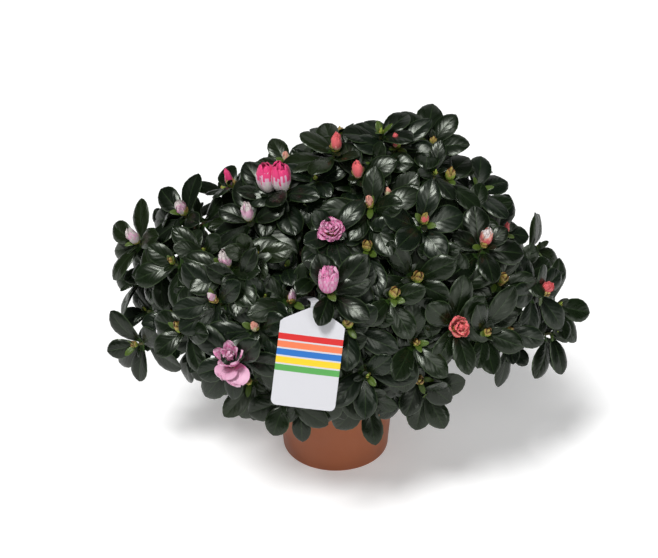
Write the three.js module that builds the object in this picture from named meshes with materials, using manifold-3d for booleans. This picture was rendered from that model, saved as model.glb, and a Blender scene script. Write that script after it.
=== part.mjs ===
// Potted azalea: a round plastic pot filled with growing medium, a short trunk that splits into
// thin boughs, and a broad dome of leafy twigs with scaly buds and half-open double flowers.
// A plain plant label hangs by its strap from one of the front boughs.
// Millimetres, +Z up. The origin is the centre of the pot's underside, and -Y is the front.

import * as THREE from "three";
import { mergeVertices } from "three/addons/utils/BufferGeometryUtils.js";
import Module from "manifold-3d";

const wasm = await Module();
wasm.setup();

const CLEARANCE = 0.3; // between pieces that touch on the real plant

const POT = {
  height: 106,
  rimRadius: 65.5,
  rimHeight: 13,
  bodyRadius: 64,
  footRadius: 57.5,
  heel: 3, // bevel round the underside
  wall: 2.2,
  sides: 40,
  drainHoles: 6,
  drainRadius: 4.5,
  drainCircle: 33,
};
const SOIL_TOP = 94;

const TRUNK = { flareRadius: 12, waistRadius: 8.6, tipRadius: 6.2, height: 64, leanX: 5, sides: 10 };
const BOUGH = { baseRadius: 3.6, tipRadius: 2.3, sides: 6, segments: 6, endShare: 0.5 };
const STEM = { length: 0.27, baseRadius: 2.3, tipRadius: 1.5, sides: 5 }; // length as a share of the reach
// widest is in degrees from the stem. A twig at more would lead back along its bough.
const TWIG = { baseRadius: 1.7, tipRadius: 1.3, sides: 3, sag: 6, extraSag: 8, widest: 95 };

// The dome through the centres of the outer leaf rosettes. Its sizes are measured from the focus.
const DOME = {
  focus: new THREE.Vector3(5, 0, 191),
  left: 234,
  right: 230,
  front: 160,
  back: 165,
  top: 177,
  bottom: 68,
  sideLift: 0.55, // how much shallower the part below the focus is at the two sides
  topShift: 84, // how far the highest point stands to the right of the middle
  roundLeft: 1.6, // 2 would be an ellipsoid and 1 a cone
  roundRight: 1.12,
  lowestAngle: 120, // degrees from straight up
};

// Rings of foliage masses from the top down. tilt is in degrees from straight up, and rise is the
// height above the soil at which the ring's boughs leave the trunk.
const MASS_RINGS = [
  { name: "crown_top", count: 1, tilt: 0, bearing: 0, rise: [60] },
  { name: "crown_upper", count: 4, tilt: 43, bearing: 20, rise: [50] },
  { name: "crown_middle", count: 7, tilt: 79, bearing: 8, rise: [31, 40] },
  { name: "crown_skirt", count: 5, tilt: 108, bearing: 54, rise: [19] },
];

const ROSETTES = 108;
const GOLDEN_ANGLE = Math.PI * (3 - Math.sqrt(5));
const SCATTER = { bearing: 0.16, depth: 0.11 };

const LEAF = {
  count: 5, // in a rosette, where there is room
  length: 50,
  width: 26,
  shorter: 0.84, // the shortest leaf's share of the length
  longer: 1.14,
  spreadLow: 64, // degrees between a leaf and the way its rosette faces
  spreadHigh: 90,
  sag: 0.12,
  fold: 0.15, // rise of the sides and droop of the tip as shares of the width
  tipDroop: 0.06,
  lower: 0.36, // where the sides reach their full width, as shares of the length
  upper: 0.72,
};
const FACING_SCATTER = 0.35;
// How much a shoot turns up and to the front, where the light comes from. The turn to the front fades
// out over this distance behind the pot's middle.
const FACING = { up: 0.5, front: 0.7, fade: 80 };
const HUB = { above: 1.8, below: 2.6, radius: 3.2 }; // where the leaves of a rosette join
const EDGE_TURNS = [-0.4, -0.2, 0, 0.2, 0.4]; // of a leaf's edge points about its own way, in radians
const LEAF_SECTOR = 0.47; // half the angle, in radians, that a leaf may take of its rosette
// What a leaf tries in turn until it clears what is already there: shares of its spread and
// length, and its turn in radians.
const LEAF_TRIES = [
  [1, 1, 0],
  [0.84, 1, 0],
  [1, 0.94, 0.14],
  [1, 0.94, -0.14],
  [0.7, 0.92, 0],
  [1.16, 0.86, 0],
  [0.85, 0.78, 0.154],
  [0.85, 0.78, -0.154],
  [0.62, 0.74, 0],
  [1, 0.6, 0],
];

// Flowers at the front of the dome, placed by their distance to the right of the pot's centre and
// their height above the table. out is how far one stands in front of the dome, lift is how much
// more it turns up than its shoot, and size is [radius, height] of the petals.
const FLOWERS = [
  { right: -64, up: 316, out: 0, lift: 2, size: [8, 33] },
  { right: -51, up: 319, out: 0, lift: 2, size: [8, 31] },
  { right: -6, up: 300, out: 4, lift: 0.3, size: [10, 14] },
  { right: -9, up: 263, out: 15, lift: 2, size: [11, 28] },
  { right: -94, up: 190, out: 0, lift: 1.5, size: [13, 28] },
  { right: 109, up: 220, out: 0, lift: 0.3, size: [10, 18] },
  { right: 138, up: 276, out: 0, lift: 1, size: [8, 19] },
  { right: 20, up: 336, out: 0, lift: 1, size: [7, 18] },
  { right: 0, up: 351, out: 0, lift: 1, size: [7, 16] },
  { right: 201, up: 216, out: 0, lift: 1, size: [8, 15] },
  { right: -148, up: 285, out: 0, lift: 1, size: [8, 15] },
  { right: -82, up: 298, out: 0, lift: 1, size: [8, 20] },
  { right: -101, up: 267, out: 0, lift: 1, size: [9, 18] },
  { right: -196, up: 254, out: 0, lift: 1, size: [8, 17] },
];

// Shoots with a place of their own, x, y and z: five hang low before the pot, and the others fill
// the dome's two ends and its top.
const PLACED_SHOOTS = [
  [-84, -112, 149],
  [-124, -88, 184],
  [-52, -126, 135],
  [34, -124, 136],
  [4, -138, 171],
  [86, -112, 134],
  [120, -95, 188],
  [139, -118, 206],
  [166, -76, 184],
  [-203, -38, 146],
  [-196, -10, 170],
  [-208, 4, 194],
  [220, -40, 161],
  [225, -20, 182],
  [206, 20, 226],
  [92, -10, 352],
  [106, 6, 324],
  [42, -10, 362],
  [138, -10, 304],
];

const LABEL = {
  width: 58,
  height: 78,
  thickness: 0.8,
  corner: 5,
  shoulder: 12, // height of the taper between the plate and its strap
  strapWidth: 8,
  ringWall: 1.2, // of the ring round the bough that the strap ends in
  ringLength: 4,
  ringSides: 12,
  ringPlay: 0.4, // extra room, because the bough bends inside the ring
  bottomCentre: new THREE.Vector3(-31, -186, 170),
  leanBack: 26, // degrees that the top leans into the dome
  roll: -7, // degrees that the top leans to the right
  bough: "bough_middle_7",
  boughShare: 5 / 6, // where two of the bough's segments meet
  openFront: { height: 58, depth: 45 }, // the space before the plate that leaves stay out of
};

// A repeatable stream of numbers from 0 to 1.
function randomFrom(seed) {
  let state = seed;
  const next = () => {
    state = (state * 48271) % 2147483647;
    return state / 2147483647;
  };
  next();
  next();
  next();
  return next;
}

function solidOf(geometry) {
  const bare = geometry.index ? geometry.toNonIndexed() : geometry.clone();
  bare.deleteAttribute("normal");
  bare.deleteAttribute("uv");
  const merged = mergeVertices(bare, 1e-3);
  return new wasm.Manifold(
    new wasm.Mesh({
      numProp: 3,
      vertProperties: merged.attributes.position.array,
      triVerts: new Uint32Array(merged.index.array),
    }),
  );
}

function meshOf(solid, name, material) {
  const made = solid.getMesh();
  const geometry = new THREE.BufferGeometry();
  geometry.setAttribute("position", new THREE.BufferAttribute(new Float32Array(made.vertProperties), 3));
  geometry.setIndex(new THREE.BufferAttribute(new Uint32Array(made.triVerts), 1));
  geometry.computeVertexNormals();
  const mesh = new THREE.Mesh(geometry, material);
  mesh.name = name;
  return mesh;
}

// A tapering limb: a cylinder whose height runs along the curve.
function limbGeometry(curve, baseRadius, tipRadius, sides, segments, radiusAt) {
  const geometry = new THREE.CylinderGeometry(1, 1, 1, sides, segments);
  const frames = curve.computeFrenetFrames(segments, false);
  const position = geometry.attributes.position;
  for (let i = 0; i < position.count; i++) {
    const share = position.getY(i) + 0.5;
    const station = Math.round(share * segments);
    const radius = radiusAt ? radiusAt(share) : baseRadius + (tipRadius - baseRadius) * share;
    const point = curve.getPointAt(share);
    point.addScaledVector(frames.normals[station], position.getX(i) * radius);
    point.addScaledVector(frames.binormals[station], -position.getZ(i) * radius);
    position.setXYZ(i, point.x, point.y, point.z);
  }
  return geometry;
}

// How round the dome is above its focus, from its left (-1) to its right (1).
function roundnessAt(sideShare) {
  return THREE.MathUtils.lerp(DOME.roundLeft, DOME.roundRight, (1 + sideShare) / 2);
}

// The point of the dome that lies in a direction from its focus.
function domePoint(direction, share = 1, sideLift = DOME.sideLift) {
  const sideways = direction.x / (direction.x < 0 ? DOME.left : DOME.right);
  const forward = direction.y / (direction.y < 0 ? DOME.front : DOME.back);
  const level = Math.max(1e-9, Math.hypot(sideways, forward));
  const lift = 1 - sideLift * (sideways / level) ** 2;
  const upward = direction.z > 0 ? direction.z / DOME.top : -direction.z / (DOME.bottom * lift);
  const power = direction.z > 0 ? roundnessAt(sideways / level) : 2;
  const reach = share * (level ** power + upward ** power) ** (-1 / power);
  const point = DOME.focus.clone().addScaledVector(direction, reach);
  if (direction.z > 0) point.x += DOME.topShift * ((direction.z * reach) / DOME.top) ** 2;
  return point;
}

// The point of the dome's front at a distance right of the pot's centre and a height.
function domeFront(right, up) {
  const z = up - DOME.focus.z;
  const high = z > 0;
  const x = right - DOME.focus.x - (high ? DOME.topShift * (z / DOME.top) ** 2 : 0);
  const sideways = x / (x < 0 ? DOME.left : DOME.right);
  const power = high ? roundnessAt(sideways) : 2;
  const level = (1 - (Math.abs(z) / (high ? DOME.top : DOME.bottom)) ** power) ** (1 / power);
  const forward = Math.sqrt(Math.max(0.02, level ** 2 - sideways ** 2));
  return new THREE.Vector3(right, -DOME.front * forward, up);
}

// The way a shoot at this point of the dome faces: outward, and turned towards the light.
function facingAt(point) {
  const offset = point.clone().sub(DOME.focus);
  if (offset.z > 0) offset.x -= DOME.topShift * (offset.z / DOME.top) ** 2;
  const outward = new THREE.Vector3(
    offset.x / DOME.left ** 2,
    offset.y / DOME.front ** 2,
    offset.z / DOME.top ** 2,
  ).normalize();
  const front = FACING.front * THREE.MathUtils.clamp(1 - offset.y / FACING.fade, 0, 1);
  return outward.add(new THREE.Vector3(0, -front, FACING.up)).normalize();
}

function directionAt(tilt, bearing) {
  return new THREE.Vector3(
    Math.sin(tilt) * Math.sin(bearing),
    -Math.sin(tilt) * Math.cos(bearing),
    Math.cos(tilt),
  );
}

// Tilts for a spiral of rosettes that gives each the same area of the dome.
function evenTilts(count) {
  const steps = 240;
  const lowest = THREE.MathUtils.degToRad(DOME.lowestAngle);
  const areas = [0];
  let previous = domePoint(directionAt(0, Math.PI));
  for (let step = 1; step <= steps; step++) {
    const point = domePoint(directionAt((lowest * step) / steps, Math.PI));
    const radius = Math.abs(point.y + previous.y) / 2;
    areas.push(areas[step - 1] + radius * Math.hypot(point.y - previous.y, point.z - previous.z));
    previous = point;
  }
  const tilts = [];
  let step = 0;
  for (let i = 0; i < count; i++) {
    const wanted = (areas[steps] * (i + 0.5)) / count;
    while (areas[step] < wanted) step++;
    tilts.push((lowest * step) / steps);
  }
  return tilts;
}

// Each mass of foliage has the space nearer to its own direction than to any other mass's.
function foliageMasses() {
  const masses = [];
  for (const ring of MASS_RINGS) {
    for (let i = 0; i < ring.count; i++) {
      const bearing = THREE.MathUtils.degToRad(ring.bearing + (360 * i) / ring.count);
      const along = directionAt(THREE.MathUtils.degToRad(ring.tilt), bearing);
      const centre = domePoint(along);
      masses.push({
        name: ring.count > 1 ? `${ring.name}_${i + 1}` : ring.name,
        boughName: `${ring.name.replace("crown", "bough")}${ring.count > 1 ? `_${i + 1}` : ""}`,
        along,
        centre,
        direction: centre.clone().sub(DOME.focus).normalize(),
        rise: ring.rise[i % ring.rise.length],
        bearing,
        rosettes: [],
      });
    }
  }
  return masses;
}

function massAt(masses, point) {
  const offset = point.clone().sub(DOME.focus);
  return masses.reduce((best, mass) =>
    offset.dot(mass.direction) > offset.dot(best.direction) ? mass : best,
  );
}

function scatterRosettes() {
  const rosettes = evenTilts(ROSETTES).map((tilt, i) => {
    const random = randomFrom(4001 + 97 * i);
    const bearing = i * GOLDEN_ANGLE + SCATTER.bearing * (random() - 0.5);
    const point = domePoint(directionAt(tilt, bearing), 1 - SCATTER.depth * random());
    return { index: i, point, flower: null };
  });
  const free = new Set(rosettes);
  const moveNearest = (place) => {
    const isNearer = (one, other) => one.point.distanceTo(place) < other.point.distanceTo(place);
    const nearest = [...free].reduce((best, rosette) => (isNearer(rosette, best) ? rosette : best));
    nearest.point = place;
    free.delete(nearest);
    return nearest;
  };
  for (const flower of FLOWERS) {
    const place = domeFront(flower.right, flower.up).add(new THREE.Vector3(0, -flower.out, 0));
    moveNearest(place).flower = flower;
  }
  for (const place of PLACED_SHOOTS) moveNearest(new THREE.Vector3(...place));
  return rosettes;
}

// The points round the edge of a leaf, from the right of its root to the left. It grows along way
// from centre, its sides rise towards up, and the widest part lies past the middle. Near the
// root it keeps to its own share of the rosette.
function leafEdge(leaf) {
  const across = new THREE.Vector3().crossVectors(leaf.up, leaf.way);
  const at = (along, aside, raised) =>
    leaf.centre
      .clone()
      .addScaledVector(leaf.way, along * leaf.length)
      .addScaledVector(across, aside)
      .addScaledVector(leaf.up, raised * leaf.width);
  const { lower, upper } = LEAF;
  const room = (along) => along * leaf.length * Math.tan(LEAF_SECTOR) * leaf.level;
  const lowerHalf = Math.min(0.4 * leaf.width, room(lower));
  const upperHalf = Math.min(0.48 * leaf.width, room(upper));
  return [
    at(lower, -lowerHalf, 0.6 * LEAF.fold),
    at(upper, -upperHalf, LEAF.fold),
    at(1, 0, -LEAF.tipDroop),
    at(upper, upperHalf, LEAF.fold),
    at(lower, lowerHalf, 0.6 * LEAF.fold),
  ];
}

function geometryOf(points, faces) {
  const geometry = new THREE.BufferGeometry();
  const numbers = points.flatMap((point) => point.toArray());
  geometry.setAttribute("position", new THREE.Float32BufferAttribute(numbers, 3));
  geometry.setIndex(faces);
  return geometry;
}

// A closed mesh of one leaf alone, used to test whether two leaves touch.
function leafProbe(leaf) {
  const edge = leafEdge(leaf);
  const root = leaf.centre.clone().addScaledVector(leaf.way, 0.14 * leaf.length);
  const under = root.clone().lerp(edge[2], 0.5).addScaledVector(leaf.up, -1.2);
  const points = [root, ...edge, under];
  const top = [0, 1, 2, 0, 2, 3, 0, 3, 4, 0, 4, 5];
  const bottom = [0, 1, 2, 3, 4, 5].flatMap((i) => [(i + 1) % 6, i, 6]);
  return geometryOf(points, [...top, ...bottom]);
}

// A shoot in one closed surface: a three-sided twig whose end opens into a rosette. The leaves'
// edges run round it, joined by notches, and their faces meet at one point above the hub. The
// faces underneath run to the end of the twig.
function shootGeometry(curve, facing, sideways, leaves) {
  const centre = curve.getPointAt(1);
  const points = [];
  const angles = [];
  const radialAt = (angle) => sideways.clone().applyAxisAngle(facing, angle);
  leaves.forEach((leaf, i) => {
    const edge = leafEdge(leaf);
    const next = i + 1 < leaves.length ? leaves[i + 1].angle : leaves[0].angle + 2 * Math.PI;
    const gap = next - leaf.angle;
    points.push(...edge);
    angles.push(...EDGE_TURNS.map((turn) => leaf.angle + turn));
    const notches = gap > Math.PI ? 3 : gap > 2 ? 2 : 1;
    for (let notch = 1; notch <= notches; notch++) {
      const share = notch / (notches + 1);
      points.push(centre.clone().addScaledVector(radialAt(leaf.angle + share * gap), HUB.radius));
      angles.push(leaf.angle + share * gap);
    }
  });
  const edgeCount = points.length;
  const above = points.push(centre.clone().addScaledVector(facing, HUB.above)) - 1;

  const ringAngles = [0, 1, 2].map((i) => angles[0] + Math.PI / 3 + (i * 2 * Math.PI) / 3);
  const rings = [1, 0.5, 0].map((share) => {
    const middle = share === 1 ? centre.clone().addScaledVector(facing, -HUB.below) : curve.getPointAt(share);
    const tangent = curve.getTangentAt(share);
    const radius = TWIG.baseRadius + (TWIG.tipRadius - TWIG.baseRadius) * share;
    return ringAngles.map((angle) => {
      const aside = radialAt(angle);
      if (share < 1) aside.addScaledVector(tangent, -aside.dot(tangent)).normalize();
      return points.push(middle.clone().addScaledVector(aside, radius)) - 1;
    });
  });

  const faces = [];
  let ring = 0;
  for (let i = 0; i < edgeCount; i++) {
    const next = (i + 1) % edgeCount;
    faces.push(above, i, next);
    faces.push(rings[0][ring % 3], next, i);
    const nextAngle = i + 1 < edgeCount ? angles[i + 1] : angles[0] + 2 * Math.PI;
    if (nextAngle > ringAngles[0] + Math.PI / 3 + (ring * 2 * Math.PI) / 3 || next === 0) {
      if (ring < 3) faces.push(rings[0][ring % 3], rings[0][(ring + 1) % 3], next);
      ring += 1;
    }
  }
  for (const [upper, lower] of [[rings[0], rings[1]], [rings[1], rings[2]]]) {
    for (let i = 0; i < 3; i++) {
      const j = (i + 1) % 3;
      faces.push(upper[i], lower[i], lower[j], upper[i], lower[j], upper[j]);
    }
  }
  faces.push(rings[2][0], rings[2][2], rings[2][1]);
  return geometryOf(points, faces);
}

// A half-open double flower along +X: a ruffled cup with a raised heart of petals.
function flowerGeometry(radius, height) {
  const profile = [
    [0, 0],
    [0.62, 0.16],
    [1, 0.55],
    [0.94, 0.94],
    [0.55, 0.86],
    [0, 1],
  ].map(([across, along]) => new THREE.Vector2(across * radius, along * height));
  const petals = 5;
  const geometry = new THREE.LatheGeometry(profile, petals * 2);
  const position = geometry.attributes.position;
  for (let i = 0; i < position.count; i++) {
    const angle = Math.atan2(position.getX(i), position.getZ(i));
    const lip = position.getY(i) > 0.9 * height && Math.hypot(position.getX(i), position.getZ(i)) > 0.1;
    const ruffle = lip ? 1 + 0.16 * Math.cos(petals * angle) : 1;
    position.setXYZ(i, position.getX(i) * ruffle, position.getY(i), position.getZ(i) * ruffle);
  }
  return geometry.rotateZ(-Math.PI / 2);
}

// Turns a shape made along +X, with its face up, to a direction and a face, and moves it.
function placeAlong(geometry, origin, direction, face) {
  const up = face.clone().addScaledVector(direction, -face.dot(direction)).normalize();
  const across = new THREE.Vector3().crossVectors(up, direction);
  const turn = new THREE.Matrix4().makeBasis(direction, across, up).setPosition(origin);
  return geometry.applyMatrix4(turn);
}

function verticesOf(geometry) {
  const position = geometry.attributes.position;
  return Array.from({ length: position.count }, (_, i) =>
    new THREE.Vector3().fromBufferAttribute(position, i),
  );
}

// True if a plane whose normal is one of the box's own axes parts the points from the box.
function clearOfBox(points, box, gap) {
  const local = points.map((point) => point.clone().applyMatrix4(box.inverse));
  return ["x", "y", "z"].some((axis) => {
    const limit = box.half[axis] + gap;
    return local.every((point) => point[axis] > limit) || local.every((point) => point[axis] < -limit);
  });
}

function clearOfPot(points, gap) {
  if (points.every((point) => point.z > POT.height + gap)) return true;
  const middle = points.reduce((sum, point) => sum.add(point), new THREE.Vector3());
  const outward = middle.setZ(0).normalize();
  return points.every((point) => point.dot(outward) > POT.rimRadius + gap);
}

function insideSpace(points, mass, masses, gap) {
  return masses.every((other) => {
    if (other === mass) return true;
    const across = mass.direction.clone().sub(other.direction).normalize();
    return points.every((point) => point.clone().sub(DOME.focus).dot(across) > gap);
  });
}

function potSolid() {
  const inner = (outer) => outer - POT.wall;
  const rimFoot = POT.height - POT.rimHeight;
  const profile = [
    [0, 0],
    [POT.footRadius - POT.heel, 0],
    [POT.footRadius, POT.heel],
    [POT.bodyRadius, rimFoot],
    [POT.rimRadius - 0.6, rimFoot],
    [POT.rimRadius, POT.height - 1],
    [POT.rimRadius - 1, POT.height],
    [inner(POT.rimRadius) + 0.6, POT.height],
    [inner(POT.bodyRadius), rimFoot],
    [inner(POT.footRadius), POT.wall],
    [0, POT.wall],
  ].map(([across, up]) => new THREE.Vector2(across, up));
  const shell = new THREE.LatheGeometry(profile, POT.sides).rotateX(Math.PI / 2);
  let solid = solidOf(shell);
  for (let i = 0; i < POT.drainHoles; i++) {
    const bearing = (2 * Math.PI * i) / POT.drainHoles;
    const hole = new THREE.CylinderGeometry(POT.drainRadius, POT.drainRadius, 3 * POT.wall, 10)
      .rotateX(Math.PI / 2)
      .translate(POT.drainCircle * Math.cos(bearing), POT.drainCircle * Math.sin(bearing), 0);
    solid = solid.subtract(solidOf(hole));
  }
  return solid;
}

function soilSolid() {
  const rimFoot = POT.height - POT.rimHeight;
  const floor = POT.wall + CLEARANCE;
  const inner = POT.footRadius - POT.wall - CLEARANCE;
  const outer = POT.bodyRadius - POT.wall - CLEARANCE - 0.2;
  const slope = (outer - inner) / (rimFoot - POT.wall);
  const edgeTop = rimFoot - 3;
  const profile = [
    [0, floor],
    [inner, floor],
    [inner + slope * (edgeTop - floor), edgeTop],
    [inner - 6, SOIL_TOP],
    [0, SOIL_TOP],
  ].map(([across, up]) => new THREE.Vector2(across, up));
  return solidOf(new THREE.LatheGeometry(profile, POT.sides).rotateX(Math.PI / 2));
}

const trunkFoot = new THREE.Vector3(0, 0, SOIL_TOP + CLEARANCE);

function trunkCurve() {
  const tip = trunkFoot.clone().add(new THREE.Vector3(TRUNK.leanX, 2, TRUNK.height));
  const middle = trunkFoot.clone().add(new THREE.Vector3(-1.5, 0, TRUNK.height * 0.5));
  return new THREE.QuadraticBezierCurve3(trunkFoot, middle, tip);
}

// The trunk widens into a root flare over its lowest fifth. extra grows it all round.
function trunkSolid(extra = 0) {
  const radiusAt = (share) => {
    const flare = (TRUNK.flareRadius - TRUNK.waistRadius) * Math.max(0, 1 - share / 0.25) ** 2;
    return TRUNK.waistRadius + (TRUNK.tipRadius - TRUNK.waistRadius) * share + flare + extra;
  };
  const geometry = limbGeometry(trunkCurve(), 0, 0, TRUNK.sides, 8, radiusAt);
  const position = geometry.attributes.position;
  for (let i = 0; i < position.count; i++) {
    if (position.getZ(i) < trunkFoot.z + 1) position.setZ(i, trunkFoot.z);
  }
  return solidOf(geometry);
}

// A bough leaves the trunk at its mass's height and bearing and arches out to the mass.
function boughCurve(mass) {
  const share = mass.rise / TRUNK.height;
  const start = trunkCurve().getPointAt(Math.min(1, share));
  const end = domePoint(mass.along, BOUGH.endShare, 0);
  const outward = new THREE.Vector3(Math.sin(mass.bearing), -Math.cos(mass.bearing), 0);
  const span = start.distanceTo(end);
  const isTop = mass.along.z > 0.99;
  const first = isTop
    ? start.clone().lerp(end, 0.4).add(new THREE.Vector3(-3, 0, 0))
    : start.clone().addScaledVector(outward, 0.34 * span).add(new THREE.Vector3(0, 0, 0.1 * span));
  const second = end.clone().addScaledVector(end.clone().sub(DOME.focus).normalize(), -0.3 * span);
  second.z -= 0.06 * span;
  return new THREE.CubicBezierCurve3(start, first, second, end);
}

function boughSolid(mass, trunkCutter) {
  const geometry = limbGeometry(
    mass.boughCurve,
    BOUGH.baseRadius,
    BOUGH.tipRadius,
    BOUGH.sides,
    BOUGH.segments,
  );
  return solidOf(geometry).subtract(trunkCutter);
}

// The label's plate, strap and the boxes that foliage keeps out of.
function labelParts(masses) {
  const bottom = LABEL.bottomCentre;
  const turn = new THREE.Matrix4()
    .makeRotationX(-THREE.MathUtils.degToRad(LABEL.leanBack))
    .multiply(new THREE.Matrix4().makeRotationY(-THREE.MathUtils.degToRad(LABEL.roll)))
    .setPosition(bottom);
  const half = LABEL.width / 2;
  const neck = LABEL.strapWidth / 2;
  const shape = new THREE.Shape();
  shape.moveTo(-half + LABEL.corner, 0);
  shape.lineTo(half - LABEL.corner, 0);
  shape.absarc(half - LABEL.corner, LABEL.corner, LABEL.corner, -Math.PI / 2, 0, false);
  shape.lineTo(half, LABEL.height - 3);
  shape.lineTo(half - 3, LABEL.height);
  shape.lineTo(neck, LABEL.height + LABEL.shoulder);
  shape.lineTo(-neck, LABEL.height + LABEL.shoulder);
  shape.lineTo(-half + 3, LABEL.height);
  shape.lineTo(-half, LABEL.height - 3);
  shape.lineTo(-half, LABEL.corner);
  shape.absarc(-half + LABEL.corner, LABEL.corner, LABEL.corner, Math.PI, 1.5 * Math.PI, false);
  const plate = new THREE.ExtrudeGeometry(shape, {
    depth: LABEL.thickness,
    bevelEnabled: false,
    curveSegments: 4,
  });
  plate.translate(0, 0, -LABEL.thickness / 2).rotateX(Math.PI / 2).applyMatrix4(turn);

  const holder = masses.find((mass) => mass.boughName === LABEL.bough);
  const perch = holder.boughCurve.getPointAt(LABEL.boughShare);
  const perchRadius = BOUGH.baseRadius + (BOUGH.tipRadius - BOUGH.baseRadius) * LABEL.boughShare;
  const perchWay = holder.boughCurve.getTangentAt(LABEL.boughShare);
  const plateTop = new THREE.Vector3(0, 0, LABEL.height + LABEL.shoulder - 2).applyMatrix4(turn);
  const plateUp = new THREE.Vector3(0, 0, 1).transformDirection(turn);
  const inward = perch.clone().sub(plateTop).setZ(0).normalize();
  const outOfBough = plateTop.clone().sub(perch);
  outOfBough.addScaledVector(perchWay, -outOfBough.dot(perchWay)).normalize();
  const ringInner = (perchRadius + CLEARANCE + LABEL.ringPlay) / Math.cos(Math.PI / LABEL.ringSides);
  const ringOuter = ringInner + LABEL.ringWall;
  const points = [
    plateTop,
    plateTop.clone().addScaledVector(plateUp, 7).addScaledVector(inward, 3),
    plateTop.clone().lerp(perch, 0.45).add(new THREE.Vector3(0, 0, 12)),
    perch.clone().addScaledVector(outOfBough, ringOuter + 12),
    perch.clone().addScaledVector(outOfBough, ringInner + 0.6 * LABEL.ringWall),
  ];
  const ring = ringGeometry(perch, perchWay, ringInner, ringOuter);
  return { plate, turn, strap: strapGeometry(points, inward), ring, points };
}

// A round band of the label's strap that goes round a bough.
function ringGeometry(centre, way, inner, outer) {
  const half = LABEL.ringLength / 2;
  const profile = [
    [inner, -half],
    [outer, -half],
    [outer, half],
    [inner, half],
    [inner, -half],
  ].map(([across, along]) => new THREE.Vector2(across, along));
  const turn = new THREE.Quaternion().setFromUnitVectors(new THREE.Vector3(0, 1, 0), way);
  const geometry = new THREE.LatheGeometry(profile, LABEL.ringSides).applyQuaternion(turn);
  return geometry.translate(centre.x, centre.y, centre.z);
}

// A flat strap along a smooth line through the points, whose width is level.
function strapGeometry(points, inward) {
  const curve = new THREE.CatmullRomCurve3(points);
  const segments = 16;
  const geometry = new THREE.BoxGeometry(1, 1, 1, 1, 1, segments);
  const level = new THREE.Vector3(-inward.y, inward.x, 0);
  const position = geometry.attributes.position;
  for (let i = 0; i < position.count; i++) {
    const share = position.getZ(i) + 0.5;
    const tangent = curve.getTangentAt(share);
    const across = level.clone().addScaledVector(tangent, -level.dot(tangent)).normalize();
    const normal = new THREE.Vector3().crossVectors(tangent, across).normalize();
    const point = curve.getPointAt(share);
    point.addScaledVector(across, position.getX(i) * LABEL.strapWidth);
    point.addScaledVector(normal, position.getY(i) * LABEL.thickness);
    position.setXYZ(i, point.x, point.y, point.z);
  }
  return geometry;
}

// The boxes round the label that twigs and leaves stay out of.
function labelBoxes(label) {
  const size = new THREE.Vector3(LABEL.width / 2, LABEL.thickness / 2, LABEL.height / 2 + 4);
  const middle = label.turn.clone().multiply(new THREE.Matrix4().makeTranslation(0, 0, size.z));
  const { height, depth } = LABEL.openFront;
  const front = new THREE.Matrix4().makeTranslation(0, -depth / 2, height / 2 - 4).premultiply(label.turn);
  const boxes = [
    { inverse: middle.invert(), half: size },
    { inverse: front.invert(), half: new THREE.Vector3(LABEL.width / 2, depth / 2, height / 2) },
  ];
  const curve = new THREE.CatmullRomCurve3(label.points);
  const spans = 10;
  for (let i = 0; i < spans; i++) {
    const start = curve.getPointAt(i / spans);
    const end = curve.getPointAt((i + 1) / spans);
    const along = end.clone().sub(start);
    const turn = new THREE.Matrix4().lookAt(start, end, new THREE.Vector3(0, 0, 1));
    turn.setPosition(start.clone().lerp(end, 0.5));
    const half = new THREE.Vector3(LABEL.strapWidth / 2, 1.2, along.length() / 2 + 1);
    boxes.push({ inverse: turn.invert(), half });
  }
  return boxes;
}

// A twig sags a little on its way out, so that its tip turns up.
function twigCurve(start, end, sag) {
  const middle = start.clone().lerp(end, 0.55);
  middle.z -= sag;
  return new THREE.QuadraticBezierCurve3(start, middle, end);
}

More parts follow.
